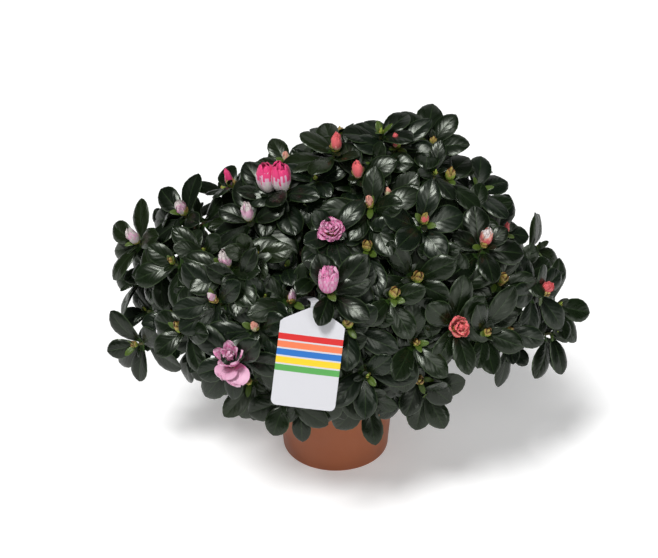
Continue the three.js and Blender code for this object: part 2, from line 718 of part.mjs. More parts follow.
// One mass of foliage: a stem that carries on from its bough, twigs to the rosettes, and leaves
// and flowers at their tips, all fused. Whatever would leave the mass's space is left out.
function massSolid(mass, masses, boxes) {
  const gap = 0.5;
  const fits = (points) =>
    insideSpace(points, mass, masses, gap) &&
    clearOfPot(points, gap) &&
    boxes.every((box) => clearOfBox(points, box, gap));

  const boughEnd = mass.boughCurve.getPointAt(1);
  const boughWay = mass.boughCurve.getTangentAt(1);
  const stemStart = boughEnd.clone().addScaledVector(boughWay, CLEARANCE);
  const reach = mass.centre.distanceTo(DOME.focus);
  const stemEnd = stemStart.clone().addScaledVector(boughWay, STEM.length * reach);
  const stem = new THREE.LineCurve3(stemStart, stemEnd);

  // Twigs leave the stem in turn: the ones that turn away most leave first.
  const swing = (rosette) => rosette.point.clone().sub(stemStart).angleTo(boughWay);
  mass.rosettes = mass.rosettes.filter((rosette) => swing(rosette) < THREE.MathUtils.degToRad(TWIG.widest));
  mass.rosettes.sort((a, b) => swing(b) - swing(a));
  const twigCurves = mass.rosettes.map((rosette, order) => {
    const random = randomFrom(90001 + 131 * rosette.index);
    const startShare = 0.12 + (0.84 * (order + 0.5)) / mass.rosettes.length;
    return twigCurve(stem.getPointAt(startShare), rosette.point, TWIG.sag + TWIG.extraSag * random());
  });
  const stemSolid = solidOf(limbGeometry(stem, STEM.baseRadius, STEM.tipRadius, STEM.sides, 1));
  const pieces = [stemSolid];
  const twigs = twigCurves.map((curve) =>
    solidOf(limbGeometry(curve, TWIG.baseRadius, TWIG.tipRadius, TWIG.sides, 2)),
  );

  const probes = [];
  mass.rosettes.forEach((rosette, order) => {
    const random = randomFrom(50021 + 113 * rosette.index);
    const facing = facingAt(rosette.point);
    const tilt = new THREE.Vector3(random() - 0.5, random() - 0.5, random() - 0.5);
    facing.addScaledVector(tilt, FACING_SCATTER).normalize();
    const sideways = new THREE.Vector3(0, 0, 1).cross(facing);
    if (sideways.length() < 0.1) sideways.set(1, 0, 0);
    sideways.normalize();
    const obstacles = [stemSolid, ...probes, ...twigs.filter((_, i) => i !== order)];
    const leaves = [];
    const spin = 2 * Math.PI * random();
    for (let k = 0; k < LEAF.count; k++) {
      const leafAngle = spin + (2 * Math.PI * k) / LEAF.count;
      const length = LEAF.length * THREE.MathUtils.lerp(LEAF.shorter, LEAF.longer, random());
      const spread = THREE.MathUtils.degToRad(
        THREE.MathUtils.lerp(LEAF.spreadLow, LEAF.spreadHigh, random()),
      );
      for (const [narrower, shorter, turn] of LEAF_TRIES) {
        const angle = leafAngle + turn;
        const radial = sideways.clone().applyAxisAngle(facing, angle);
        const turned = spread * narrower;
        const way = facing.clone().multiplyScalar(Math.cos(turned)).addScaledVector(radial, Math.sin(turned));
        way.z -= LEAF.sag * Math.sin(turned);
        way.normalize();
        const up = facing.clone().addScaledVector(way, -facing.dot(way)).normalize();
        const leaf = {
          centre: rosette.point,
          way,
          up,
          length: length * shorter,
          width: LEAF.width * shorter,
          angle,
          level: Math.sin(turned),
        };
        if (!fits(leafEdge(leaf))) continue;
        const probe = solidOf(leafProbe(leaf));
        if (obstacles.some((other) => !probe.intersect(other).isEmpty())) continue;
        leaves.push(leaf);
        probes.push(probe);
        break;
      }
    }
    if (leaves.length > 1) pieces.push(solidOf(shootGeometry(twigCurves[order], facing, sideways, leaves)));
    if (rosette.flower) {
      const [radius, height] = rosette.flower.size;
      const flowerWay = facing.clone().add(new THREE.Vector3(0, 0, rosette.flower.lift)).normalize();
      for (const smaller of [1, 0.8, 0.65]) {
        const flower = placeAlong(
          flowerGeometry(radius * smaller, height * smaller),
          rosette.point.clone().addScaledVector(flowerWay, 1),
          flowerWay,
          new THREE.Vector3(0.3, 0.9, 0.1),
        );
        if (!fits(verticesOf(flower))) continue;
        pieces.push(solidOf(flower));
        break;
      }
    }
  });
  const fused = wasm.Manifold.union(pieces);
  const bodies = fused.decompose().sort((a, b) => b.volume() - a.volume());
  return bodies[0];
}

const materials = {
  pot: new THREE.MeshStandardMaterial({ color: 0x93593b, roughness: 0.55, metalness: 0 }),
  soil: new THREE.MeshStandardMaterial({ color: 0x2b1e16, roughness: 1, metalness: 0 }),
  bark: new THREE.MeshStandardMaterial({ color: 0x5a4030, roughness: 0.9, metalness: 0 }),
  foliage: new THREE.MeshStandardMaterial({ color: 0x24331f, roughness: 0.45, metalness: 0 }),
  label: new THREE.MeshStandardMaterial({ color: 0xe8e8ea, roughness: 0.35, metalness: 0 }),
};

function buildPlant() {
  const plant = new THREE.Group();
  plant.name = "potted_azalea";
  plant.add(meshOf(potSolid(), "pot", materials.pot));
  plant.add(meshOf(soilSolid(), "soil", materials.soil));
  plant.add(meshOf(trunkSolid(), "trunk", materials.bark));

  const masses = foliageMasses();
  for (const mass of masses) mass.boughCurve = boughCurve(mass);
  for (const rosette of scatterRosettes()) massAt(masses, rosette.point).rosettes.push(rosette);

  const trunkCutter = trunkSolid(CLEARANCE);
  const label = labelParts(masses);
  const boxes = labelBoxes(label);
  const labelSolid = solidOf(label.plate).add(solidOf(label.strap)).add(solidOf(label.ring));
  plant.add(meshOf(labelSolid, "label", materials.label));
  for (const mass of masses) {
    plant.add(meshOf(boughSolid(mass, trunkCutter), mass.boughName, materials.bark));
    plant.add(meshOf(massSolid(mass, masses, boxes), mass.name, materials.foliage));
  }
  return plant;
}

export default buildPlant();
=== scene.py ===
"""Potted azalea: glossy dark rosettes of leaves, scaly buds and half-open double flowers.

The plant grows by one seeded rule. A dome is shared among masses of foliage, each with its own
bough. Twigs run from the end of a bough to rosettes on the dome, finer twigs branch from them, and
every twig ends in a rosette of leaves round a bud. Sizes are in millimetres, and meshes are
written in metres.
"""

import functools
import math

import bpy
import numpy as np
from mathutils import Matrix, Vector


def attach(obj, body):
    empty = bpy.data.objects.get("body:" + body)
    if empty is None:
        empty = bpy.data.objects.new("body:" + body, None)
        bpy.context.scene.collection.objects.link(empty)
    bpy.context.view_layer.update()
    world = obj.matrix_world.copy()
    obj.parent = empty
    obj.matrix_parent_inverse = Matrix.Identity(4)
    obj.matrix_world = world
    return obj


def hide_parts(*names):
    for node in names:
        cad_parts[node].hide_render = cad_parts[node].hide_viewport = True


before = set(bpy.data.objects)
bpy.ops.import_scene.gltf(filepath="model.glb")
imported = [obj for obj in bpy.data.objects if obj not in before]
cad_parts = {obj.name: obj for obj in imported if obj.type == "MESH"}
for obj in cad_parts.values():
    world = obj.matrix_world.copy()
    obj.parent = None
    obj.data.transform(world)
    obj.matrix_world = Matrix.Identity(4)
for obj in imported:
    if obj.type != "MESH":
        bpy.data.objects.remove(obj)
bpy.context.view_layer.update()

MM = 0.001
X = np.array([1.0, 0.0, 0.0])
Z = np.array([0.0, 0.0, 1.0])

# --- sizes of the frame

# The rim, the body and the foot are radii.
POT = {
    "height": 106.0,
    "rim": 65.5,
    "rim_height": 13.0,
    "body": 64.0,
    "foot": 57.5,
    "heel": 3.0,
    "wall": 2.2,
}
DRAIN = {"holes": 6, "radius": 4.5, "circle": 33.0}
CLEARANCE = 0.3
SOIL_TOP = 94.0
TRUNK = {"flare": 12.0, "waist": 8.6, "tip": 6.2, "height": 64.0, "lean": 5.0}
BOUGH = {"base": 3.6, "tip": 2.3, "end_share": 0.5}
STEM = {"length": 0.27, "base": 2.3, "tip": 1.5}
TWIG = {"base": 1.7, "tip": 1.3, "sag": 6.0, "extra_sag": 8.0, "widest": 95.0}

DOME = {
    "focus": np.array([5.0, 0.0, 191.0]),
    "left": 234.0,
    "right": 230.0,
    "front": 160.0,
    "back": 165.0,
    "top": 177.0,
    "bottom": 68.0,
    "side_lift": 0.55,
    "top_shift": 84.0,
    "round_left": 1.6,
    "round_right": 1.12,
    "lowest": 120.0,
}
MASS_RINGS = [
    {"name": "top", "count": 1, "tilt": 0, "bearing": 0, "rise": [60]},
    {"name": "upper", "count": 4, "tilt": 43, "bearing": 20, "rise": [50]},
    {"name": "middle", "count": 7, "tilt": 79, "bearing": 8, "rise": [31, 40]},
    {"name": "skirt", "count": 5, "tilt": 108, "bearing": 54, "rise": [19]},
]
ROSETTES = 108
GOLDEN_ANGLE = math.pi * (3 - math.sqrt(5))
SCATTER = {"bearing": 0.16, "depth": 0.11}
FACING_SCATTER = 0.35
# How much a shoot turns up and to the front, where the light comes from. The turn to the front fades
# out over this distance behind the pot's middle.
FACING = {"up": 0.5, "front": 0.7, "fade": 80.0}

# Flowers at the front of the dome: right of the pot's centre, up from the table, out from the
# dome, how much more each turns up than its shoot, radius and height of the petals, and its look.
FLOWERS = [
    (-64, 316, 0, 2.0, 8, 33, "two_tone"),
    (-51, 319, 0, 2.0, 8, 31, "two_tone"),
    (-6, 300, 4, 0.3, 10, 14, "open_pink"),
    (-9, 263, 15, 2.0, 11, 28, "ruffled"),
    (-94, 190, 0, 1.5, 13, 28, "loose"),
    (109, 220, 0, 0.3, 10, 18, "open_coral"),
    (138, 276, 0, 1.0, 8, 19, "tipped_coral"),
    (20, 336, 0, 1.0, 7, 18, "coral"),
    (0, 351, 0, 1.0, 7, 16, "coral"),
    (201, 216, 0, 1.0, 8, 15, "coral"),
    (-148, 285, 0, 1.0, 8, 15, "pale"),
    (-82, 298, 0, 1.0, 8, 20, "pale"),
    (-101, 267, 0, 1.0, 9, 18, "pale"),
    (-196, 254, 0, 1.0, 8, 17, "white"),
]
# Places that the nearest free rosette moves to, so that the outline follows the photo: x, y and z.
PLACED_SHOOTS = [
    (-84, -112, 149),
    (-124, -88, 184),
    (-52, -126, 135),
    (34, -124, 136),
    (4, -138, 171),
    (86, -112, 134),
    (120, -95, 188),
    (139, -118, 206),
    (166, -76, 184),
    (-203, -38, 146),
    (-196, -10, 170),
    (-208, 4, 194),
    (220, -40, 161),
    (225, -20, 182),
    (206, 20, 226),
    (92, -10, 352),
    (106, 6, 324),
    (42, -10, 362),
    (138, -10, 304),
]
LABEL = {
    "width": 58.0,
    "height": 78.0,
    "thickness": 0.8,
    "corner": 5.0,
    "chamfer": 3.0,
    "shoulder": 12.0,
    "strap_width": 8.0,
    "ring_wall": 1.2,
    "ring_length": 4.0,
    "ring_play": 0.4,
    "bottom": np.array([-31.0, -186.0, 170.0]),
    "lean_back": 26.0,
    "open_front": (58.0, 45.0),
    "roll": -7.0,
    "bough": "bough_middle_7",
    "bough_share": 5 / 6,
}

# --- what only the looks need

# Small buds that show from the front: right, up and the colour that breaks out of the scales.
SMALL_BUDS = [
    (36, 364, "coral"),
    (36, 326, "peach"),
    (0, 330, "cream"),
    (-30, 324, "cream"),
    (-107, 306, "hot"),
    (-56, 286, "pale"),
    (-112, 242, "pale"),
    (-74, 245, "cream"),
    (-36, 286, "scales"),
    (50, 252, "scales"),
    (10, 233, "scales"),
    (71, 303, "brown"),
    (76, 252, "scales"),
    (169, 230, "scales"),
    (200, 224, "coral"),
    (-140, 210, "scales"),
    (88, 352, "scales"),
    (118, 231, "cream"),
    (83, 148, "scales"),
    (-22, 248, "scales"),
    (154, 318, "scales"),
]
BUD_SHIFT = 14.0  # how far a rosette may move along the dome to carry one of them
SPACE_OVERLAP = 15.0  # how far a leaf may reach over its mass's border
LEAF_GAP = 2.6  # wanted between neighbouring leaves
BRANCH_REACH = (24.0, 36.0)  # from the main twig's tip
BRANCH_TRIES = 9
BRANCH_ROOM = 13.0  # least distance between the ends of twigs
BRANCH_SAG = (2, 6)
BRANCH_POT_GAP, BRANCH_LABEL_GAP = 9.0, 5.0
BRANCH_RADII = (1.25, 0.95)

# Finer twigs of each main one: how many, their reach as a share, their depth as a share of the way
# out from the focus, where they leave the main twig, and what is added to the seed of their draws.
BRANCHES = {
    "side": {"count": 2, "reach": 1, "depth": (0.76, 0.92), "root": (0.5, 0.72), "seed": 0},
    "inner": {"count": 1, "reach": 0.7, "depth": (0.6, 0.76), "root": (0.25, 0.4), "seed": 29},
}
# The rosette of each kind of shoot: its leaves and how many of them are young, how often a young one
# is pale, the gap to others below which a leaf is left out, and the twig's radii at its foot and tip.
SHOOTS = {
    "main": {
        "leaves": 9, "length": 47.5, "width": 23.8, "young": 3,
        "fresh": 0.45, "least_gap": 0.9, "radii": (TWIG["base"], TWIG["tip"]),
    },
    "side": {
        "leaves": 6, "length": 39.5, "width": 19.6, "young": 1,
        "fresh": 0.3, "least_gap": 1.2, "radii": BRANCH_RADII,
    },
    "inner": {
        "leaves": 5, "length": 40.0, "width": 21.0, "young": 0,
        "fresh": 0.1, "least_gap": 1.2, "radii": BRANCH_RADII,
    },
}


class Draws:
    """A repeatable stream of numbers from 0 to 1."""

    def __init__(self, seed):
        self.state = seed
        for _ in range(3):
            self()

    def __call__(self):
        self.state = self.state * 48271 % 2147483647
        return self.state / 2147483647

    def between(self, low, high):
        return low + (high - low) * self()


# Where each kind of draws starts, and the step from one rosette, shoot or mass to the next.
SEEDS = {
    "rosette": (4001, 97),
    "sag": (90001, 131),
    "shoot": (50021, 113),
    "branch": (7001, 389),
    "trunk_bark": (611, 1),
    "bough_bark": (7100, 1),
    "stem_bark": (7300, 1),
    "twig_bark": (8000, 61),
    "bud": (31001, 211),
    "leaf_tone": (601, 37),
    "soil": (1313, 1),
}


def draws_for(kind, number=0, extra=0):
    start, step = SEEDS[kind]
    return Draws(start + step * number + extra)


def unit(v):
    return v / np.linalg.norm(v)


def mix(a, b, share):
    return a + (b - a) * share


def turned(v, axis, angle):
    """v turned about a unit axis."""
    along = axis * (axis @ v) * (1 - math.cos(angle))
    return v * math.cos(angle) + np.cross(axis, v) * math.sin(angle) + along


def square_to(a, b):
    """A unit vector square to both, or +X where they are nearly in line."""
    side = np.cross(a, b)
    return unit(side) if np.linalg.norm(side) > 0.1 else X


def wander(draw):
    return np.array([draw() - 0.5, draw() - 0.5, draw() - 0.5])


def turns(count):
    """Angles evenly round a circle."""
    return np.arange(count)[None, :] * 2 * math.pi / count


def paired(u, v):
    """Two values for each point of a grid."""
    return np.stack(np.broadcast_arrays(u, v), axis=-1)


class Curve:
    """A Bezier curve that is read by its share of length."""

    STEPS = 200

    def __init__(self, *points):
        self.points = [np.array(p, float) for p in points]
        self.samples = np.array([self.at(i / self.STEPS) for i in range(self.STEPS + 1)])
        steps = np.linalg.norm(np.diff(self.samples, axis=0), axis=1)
        self.lengths = np.concatenate([[0], np.cumsum(steps)])

    def at(self, t):
        points = self.points
        while len(points) > 1:
            points = [mix(a, b, t) for a, b in zip(points, points[1:])]
        return points[0]

    def t_of(self, share):
        ts = np.linspace(0, 1, self.STEPS + 1)
        return float(np.interp(share * self.lengths[-1], self.lengths, ts))

    def point(self, share):
        return self.at(self.t_of(share))

    def tangent(self, share):
        t = self.t_of(share)
        return unit(self.at(min(1, t + 1e-4)) - self.at(max(0, t - 1e-4)))

    def line(self, count):
        return np.array([self.point(i / (count - 1)) for i in range(count)])


# --- the rule that shapes the plant


def roundness_at(side):
    return mix(DOME["round_left"], DOME["round_right"], (1 + side) / 2)


def dome_point(direction, share=1.0, side_lift=DOME["side_lift"]):
    """The point of the dome in a direction from its focus, or at a share of the way to it."""
    sideways = direction[0] / (DOME["left"] if direction[0] < 0 else DOME["right"])
    forward = direction[1] / (DOME["front"] if direction[1] < 0 else DOME["back"])
    level = max(1e-9, math.hypot(sideways, forward))
    high = direction[2] > 0
    lift = 1 - side_lift * (sideways / level) ** 2
    upward = direction[2] / DOME["top"] if high else -direction[2] / (DOME["bottom"] * lift)
    power = roundness_at(sideways / level) if high else 2
    reach = share * (level**power + upward**power) ** (-1 / power)
    point = DOME["focus"] + direction * reach
    if high:
        point[0] += DOME["top_shift"] * (direction[2] * reach / DOME["top"]) ** 2
    return point


def dome_front(right, up):
    """The point of the dome's front so far right of the pot's centre and up from the table."""
    z = up - DOME["focus"][2]
    high = z > 0
    x = right - DOME["focus"][0] - (DOME["top_shift"] * (z / DOME["top"]) ** 2 if high else 0)
    sideways = x / (DOME["left"] if x < 0 else DOME["right"])
    power = roundness_at(sideways) if high else 2
    level = (1 - (abs(z) / (DOME["top"] if high else DOME["bottom"])) ** power) ** (1 / power)
    forward = math.sqrt(max(0.02, level**2 - sideways**2))
    return np.array([right, -DOME["front"] * forward, up], float)


def facing_at(point):
    """The way that a shoot faces: out from the dome, and somewhat up and to the front."""
    offset = point - DOME["focus"]
    if offset[2] > 0:
        offset[0] -= DOME["top_shift"] * (offset[2] / DOME["top"]) ** 2
    outward = offset / np.array([DOME["left"], DOME["front"], DOME["top"]]) ** 2
    front = FACING["front"] * np.clip(1 - offset[1] / FACING["fade"], 0, 1)
    return unit(unit(outward) + np.array([0, -front, FACING["up"]]))


def direction_at(tilt, bearing):
    return np.array([
        math.sin(tilt) * math.sin(bearing),
        -math.sin(tilt) * math.cos(bearing),
        math.cos(tilt),
    ])


def even_tilts(count):
    """Tilts from the dome's top down that share its surface evenly."""
    steps = 240
    lowest = math.radians(DOME["lowest"])
    areas = [0.0]
    previous = dome_point(direction_at(0, math.pi))
    for step in range(1, steps + 1):
        point = dome_point(direction_at(lowest * step / steps, math.pi))
        radius = abs(point[1] + previous[1]) / 2
        areas.append(areas[-1] + radius * math.hypot(point[1] - previous[1], point[2] - previous[2]))
        previous = point
    tilts = []
    step = 0
    for i in range(count):
        wanted = areas[-1] * (i + 0.5) / count
        while areas[step] < wanted:
            step += 1
        tilts.append(lowest * step / steps)
    return tilts


def trunk_curve():
    foot = np.array([0, 0, SOIL_TOP + CLEARANCE])
    bend = foot + np.array([-1.5, 0, TRUNK["height"] * 0.5])
    return Curve(foot, bend, foot + np.array([TRUNK["lean"], 2, TRUNK["height"]]))


def bough_curve(mass):
    start = trunk_curve().point(min(1, mass["rise"] / TRUNK["height"]))
    end = dome_point(mass["along"], BOUGH["end_share"], side_lift=0)
    outward = np.array([math.sin(mass["bearing"]), -math.cos(mass["bearing"]), 0])
    span = np.linalg.norm(end - start)
    if mass["along"][2] > 0.99:
        first = mix(start, end, 0.4) + np.array([-3, 0, 0])
    else:
        first = start + outward * 0.34 * span + Z * 0.1 * span
    second = end - unit(end - DOME["focus"]) * 0.3 * span - Z * 0.06 * span
    return Curve(start, first, second, end)


def foliage_masses():
    masses = []
    for ring in MASS_RINGS:
        for i in range(ring["count"]):
            bearing = math.radians(ring["bearing"] + 360 * i / ring["count"])
            along = direction_at(math.radians(ring["tilt"]), bearing)
            number = f"_{i + 1}" if ring["count"] > 1 else ""
            mass = {
                "name": f"crown_{ring['name']}{number}",
                "bough": f"bough_{ring['name']}{number}",
                "along": along,
                "direction": unit(dome_point(along) - DOME["focus"]),
                "reach": np.linalg.norm(dome_point(along) - DOME["focus"]),
                "rise": ring["rise"][i % len(ring["rise"])],
                "bearing": bearing,
                "rosettes": [],
            }
            mass["curve"] = bough_curve(mass)
            masses.append(mass)
    return masses


def scatter_rosettes():
    rosettes = []
    for i, tilt in enumerate(even_tilts(ROSETTES)):
        draw = draws_for("rosette", i)
        bearing = i * GOLDEN_ANGLE + SCATTER["bearing"] * (draw() - 0.5)
        point = dome_point(direction_at(tilt, bearing), 1 - SCATTER["depth"] * draw())
        rosettes.append({"index": i, "point": point, "flower": None, "bud": None})
    free = list(rosettes)

    def take_nearest(place):
        nearest = min(free, key=lambda rosette: np.linalg.norm(rosette["point"] - place))
        free.remove(nearest)
        return nearest

    for right, up, out, lift, radius, height, look in FLOWERS:
        place = dome_front(right, up) - np.array([0, out, 0])
        rosette = take_nearest(place)
        rosette.update(point=place, flower=(lift, radius, height, look))
    for place in PLACED_SHOOTS:
        take_nearest(np.array(place, float))["point"] = np.array(place, float)
    for right, up, look in SMALL_BUDS:
        place = dome_front(right, up)
        rosette = take_nearest(place)
        away = place - rosette["point"]
        distance = np.linalg.norm(away)
        rosette["bud"] = look
        rosette["point"] = rosette["point"] + away * min(1, BUD_SHIFT / distance)
    return rosettes


def mass_at(masses, point):
    return max(masses, key=lambda mass: (point - DOME["focus"]) @ mass["direction"])


MASSES = foliage_masses()
for _rosette in scatter_rosettes():
    mass_at(MASSES, _rosette["point"])["rosettes"].append(_rosette)


# --- the label's place


def label_turn():
    """The label's own axes as columns, and the middle of its lower edge."""
    lean = math.radians(-LABEL["lean_back"])
    roll = math.radians(-LABEL["roll"])
    c, s = math.cos(lean), math.sin(lean)
    about_x = np.array([[1, 0, 0], [0, c, -s], [0, s, c]])
    c, s = math.cos(roll), math.sin(roll)
    about_y = np.array([[c, 0, s], [0, 1, 0], [-s, 0, c]])
    return about_x @ about_y, LABEL["bottom"]


def label_route():
    """The points that the strap runs through, the level way inwards, and the ring.

    The strap rises over the leaves in front of its bough, and ends inside the ring's wall.
    """
    axes, bottom = label_turn()
    holder = next(mass for mass in MASSES if mass["bough"] == LABEL["bough"])
    share = LABEL["bough_share"]
    perch = holder["curve"].point(share)
    way = holder["curve"].tangent(share)
    plate_top = bottom + axes[:, 2] * (LABEL["height"] + LABEL["shoulder"] - 2)
    inward = perch - plate_top
    inward[2] = 0
    inward = unit(inward)
    out = plate_top - perch
    out = unit(out - way * (out @ way))
    bough_radius = mix(BOUGH["base"], BOUGH["tip"], share)
    inner = (bough_radius + CLEARANCE + LABEL["ring_play"]) / math.cos(math.pi / 12)
    outer = inner + LABEL["ring_wall"]
    route = [
        plate_top,
        plate_top + axes[:, 2] * 7 + inward * 3,
        mix(plate_top, perch, 0.45) + Z * 12,
        perch + out * (outer + 12),
        perch + out * (inner + 0.6 * LABEL["ring_wall"]),
    ]
    return route, inward, {"centre": perch, "way": way, "inner": inner, "outer": outer}


def smooth_route(points, count):
    """A Catmull-Rom curve through the points, evenly sampled."""
    p = [2 * points[0] - points[1], *points, 2 * points[-1] - points[-2]]
    fine = []
    for a, b, c, d in zip(p, p[1:], p[2:], p[3:]):
        for t in np.arange(0, 1, 0.05):
            bend = (2 * a - 5 * b + 4 * c - d) * t**2
            swing = (3 * b - a - 3 * c + d) * t**3
            fine.append(0.5 * (2 * b + (c - a) * t + bend + swing))
    fine.append(points[-1])
    fine = np.array(fine)
    lengths = np.concatenate([[0], np.cumsum(np.linalg.norm(np.diff(fine, axis=0), axis=1))])
    wanted = np.linspace(0, lengths[-1], count)
    return np.stack([np.interp(wanted, lengths, fine[:, k]) for k in range(3)], axis=1)


def label_boxes():
    """Boxes round the plate and the strap: their axes, middles and half sizes."""
    axes, bottom = label_turn()
    half = np.array([LABEL["width"] / 2, LABEL["thickness"] / 2, LABEL["height"] / 2 + 4])
    boxes = [(axes, bottom + axes[:, 2] * half[2], half)]
    height, depth = LABEL["open_front"]
    front = np.array([LABEL["width"] / 2, depth / 2, height / 2])
    boxes.append((axes, bottom + axes[:, 2] * (front[2] - 4) - axes[:, 1] * front[1], front))
    strap = smooth_route(label_route()[0], 11)
    for start, end in zip(strap, strap[1:]):
        along = end - start
        x = unit(np.cross(along, Z))
        turn = np.stack([x, np.cross(unit(along), x), unit(along)], axis=1)
        boxes.append((turn, (start + end) / 2, np.array([4, 1.5, np.linalg.norm(along) / 2 + 1])))
    return boxes


LABEL_BOXES = label_boxes()


# --- what a leaf keeps clear of


def clear_of_label(points, gap=0.8):
    """Whether, for each box round the label, all the points lie beyond one of its sides."""
    for axes, middle, half in LABEL_BOXES:
        local = (points - middle) @ axes
        if not np.any(np.all(local > half + gap, axis=0) | np.all(local < -half - gap, axis=0)):
            return False
    return True


def clear_of_pot(points, gap=1.0):
    if np.all(points[:, 2] > POT["height"] + gap):
        return True
    outward = points.mean(axis=0) * np.array([1, 1, 0])
    return np.all(points @ unit(outward) > POT["rim"] + gap)


def inside_space(points, mass):
    """Whether the points stay in the mass's own space of the dome."""
    offsets = points - DOME["focus"]
    for other in MASSES:
        if other is mass:
            continue
        across = unit(mass["direction"] - other["direction"])
        if np.any(offsets @ across < -SPACE_OVERLAP):
            return False
    return True


class Crowd:
    """Points of what has grown so far, in cells, to find how near a new leaf comes to them."""

    CELL = 6.0

    def __init__(self):
        self.cells = {}

    def add(self, points, owner):
        for point in points:
            key = tuple((point // self.CELL).astype(int))
            self.cells.setdefault(key, []).append((*point, owner))

    def nearest(self, points, owner):
        best = self.CELL**2
        for point in points:
            x, y, z = point
            i, j, k = (int(c // self.CELL) for c in point)
            for a in (i - 1, i, i + 1):
                for b in (j - 1, j, j + 1):
                    for c in (k - 1, k, k + 1):
                        for px, py, pz, other in self.cells.get((a, b, c), ()):
                            if other != owner:
                                best = min(best, (px - x) ** 2 + (py - y) ** 2 + (pz - z) ** 2)
        return math.sqrt(best)


CROWD = Crowd()

# --- meshes


def add_object(name, data):
    made = bpy.data.objects.new(name, data)
    bpy.context.scene.collection.objects.link(made)
    return made


class Batch:
    """Meshes gathered into one piece."""

    def __init__(self):
        self.points = []
        self.faces = []
        self.slots = []
        self.uvs = []
        self.count = 0

    def add(self, points, faces, slots=0, uvs=None):
        points = np.asarray(points, float)
        self.points.append(points)
        self.faces.extend(tuple(i + self.count for i in face) for face in faces)
        self.slots.extend([slots] * len(faces) if isinstance(slots, int) else slots)
        self.uvs.append(np.zeros((len(points), 2)) if uvs is None else uvs)
        self.count += len(points)

    def make(self, name, materials, sharp=55):
        mesh = bpy.data.meshes.new(name)
        points = np.concatenate(self.points) * MM
        mesh.from_pydata(points.tolist(), [], self.faces)
        for material in materials:
            mesh.materials.append(material)
        mesh.polygons.foreach_set("material_index", self.slots)
        loops = np.zeros(len(mesh.loops), int)
        mesh.loops.foreach_get("vertex_index", loops)
        layer = mesh.uv_layers.new(name="UVMap")
        layer.data.foreach_set("uv", np.concatenate(self.uvs)[loops].ravel())
        mesh.shade_smooth()
        mesh.set_sharp_from_angle(angle=math.radians(sharp))
        mesh.update()
        return add_object(name, mesh)


def finish_piece(piece, slot, *replaced):
    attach(piece, "root")
    if replaced:
        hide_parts(*replaced)


@functools.cache
def shell_faces(rows, columns):
    """Faces of a thin closed shell: a grid on top, and a grid below that shares its border."""
    top = np.arange(rows * columns).reshape(rows, columns)
    below = top.copy()
    inner = (rows - 2) * (columns - 2)
    below[1:-1, 1:-1] = rows * columns + np.arange(inner).reshape(rows - 2, columns - 2)
    faces = []
    for grid, order in ((top, -1), (below, 1)):
        for r in range(rows - 1):
            for c in range(columns - 1):
                face = (grid[r, c], grid[r, c + 1], grid[r + 1, c + 1], grid[r + 1, c])
                faces.append(tuple(int(i) for i in face[::order]))
    return faces


def add_shell(batch, grid, below, thickness, top_slots, under_slots, uvs=None):
    """A thin closed shell. below is the way to its underside, and slots go row by row."""
    rows, columns = grid.shape[:2]
    inner = grid[1:-1, 1:-1] + np.asarray(below) * thickness
    points = np.concatenate([grid.reshape(-1, 3), inner.reshape(-1, 3)])
    if uvs is not None:
        uvs = np.concatenate([uvs.reshape(-1, 2), uvs[1:-1, 1:-1].reshape(-1, 2)])
    batch.add(points, shell_faces(rows, columns), list(top_slots) + list(under_slots), uvs)


def ring_faces(rows, sides):
    """Faces between neighbouring rings of points."""
    faces = []
    for i in range(rows - 1):
        for j in range(sides):
            k = (j + 1) % sides
            faces.append((i * sides + j, i * sides + k, (i + 1) * sides + k, (i + 1) * sides + j))
    return faces


def end_caps(rows, sides):
    return [tuple(range(sides))[::-1], tuple((rows - 1) * sides + j for j in range(sides))]


def tube(line, radii, sides):
    """Points and faces of a closed tube round a line, with a radius for each point and side."""
    tangents = np.gradient(line, axis=0)
    tangents /= np.linalg.norm(tangents, axis=1)[:, None]
    aside = np.cross(tangents[0], Z)
    if np.linalg.norm(aside) < 0.1:
        aside = np.cross(tangents[0], X)
    angles = turns(sides).T
    points = []
    for place, tangent, row in zip(line, tangents, radii):
        aside = unit(aside - tangent * (aside @ tangent))
        ring = np.cos(angles) * aside + np.sin(angles) * np.cross(tangent, aside)
        points.append(place + ring * row[:, None])
    return np.concatenate(points), ring_faces(len(line), sides) + end_caps(len(line), sides)


def lathe(profile, sides, centre=(0, 0, 0), capped=False):
    """Points and faces of a profile of (radius, height) turned about the vertical."""
    points = []
    for radius, height in profile:
        for j in range(sides):
            angle = 2 * math.pi * j / sides
            points.append((radius * math.cos(angle), radius * math.sin(angle), height))
    faces = ring_faces(len(profile), sides) + (end_caps(len(profile), sides) if capped else [])
    return np.array(points) + np.array(centre), faces


# --- materials


def shader_inputs(material):
    return material.node_tree.nodes["Principled BSDF"].inputs


def plain_material(name, colour, roughness, **sockets):
    """A new material. Other inputs of its shader are given with _ for a space."""
    material = bpy.data.materials.new(name)
    material.use_nodes = True
    values = {"Base Color": (*colour, 1), "Roughness": roughness, **sockets}
    for socket, value in values.items():
        shader_inputs(material)[socket.replace("_", " ")].default_value = value
    return material


def node(material, kind, **values):
    """A new node. Each value goes to the input of that name, or to the node itself."""
    made = material.node_tree.nodes.new(kind)
    for key, value in values.items():
        if key in made.inputs:
            made.inputs[key].default_value = value
        else:
            setattr(made, key, value)
    return made


def link(material, source, target):
    material.node_tree.links.new(source, target)


def coordinates(material, source="Object", stretch=(1, 1, 1)):
    texture = node(material, "ShaderNodeTexCoord")
    mapping = node(material, "ShaderNodeMapping", Scale=stretch)
    link(material, texture.outputs[source], mapping.inputs["Vector"])
    return mapping.outputs["Vector"]


def noise_at(material, place, scale, detail):
    noise = node(material, "ShaderNodeTexNoise", Scale=scale, Detail=detail)
    link(material, place, noise.inputs["Vector"])
    return noise.outputs["Fac"]


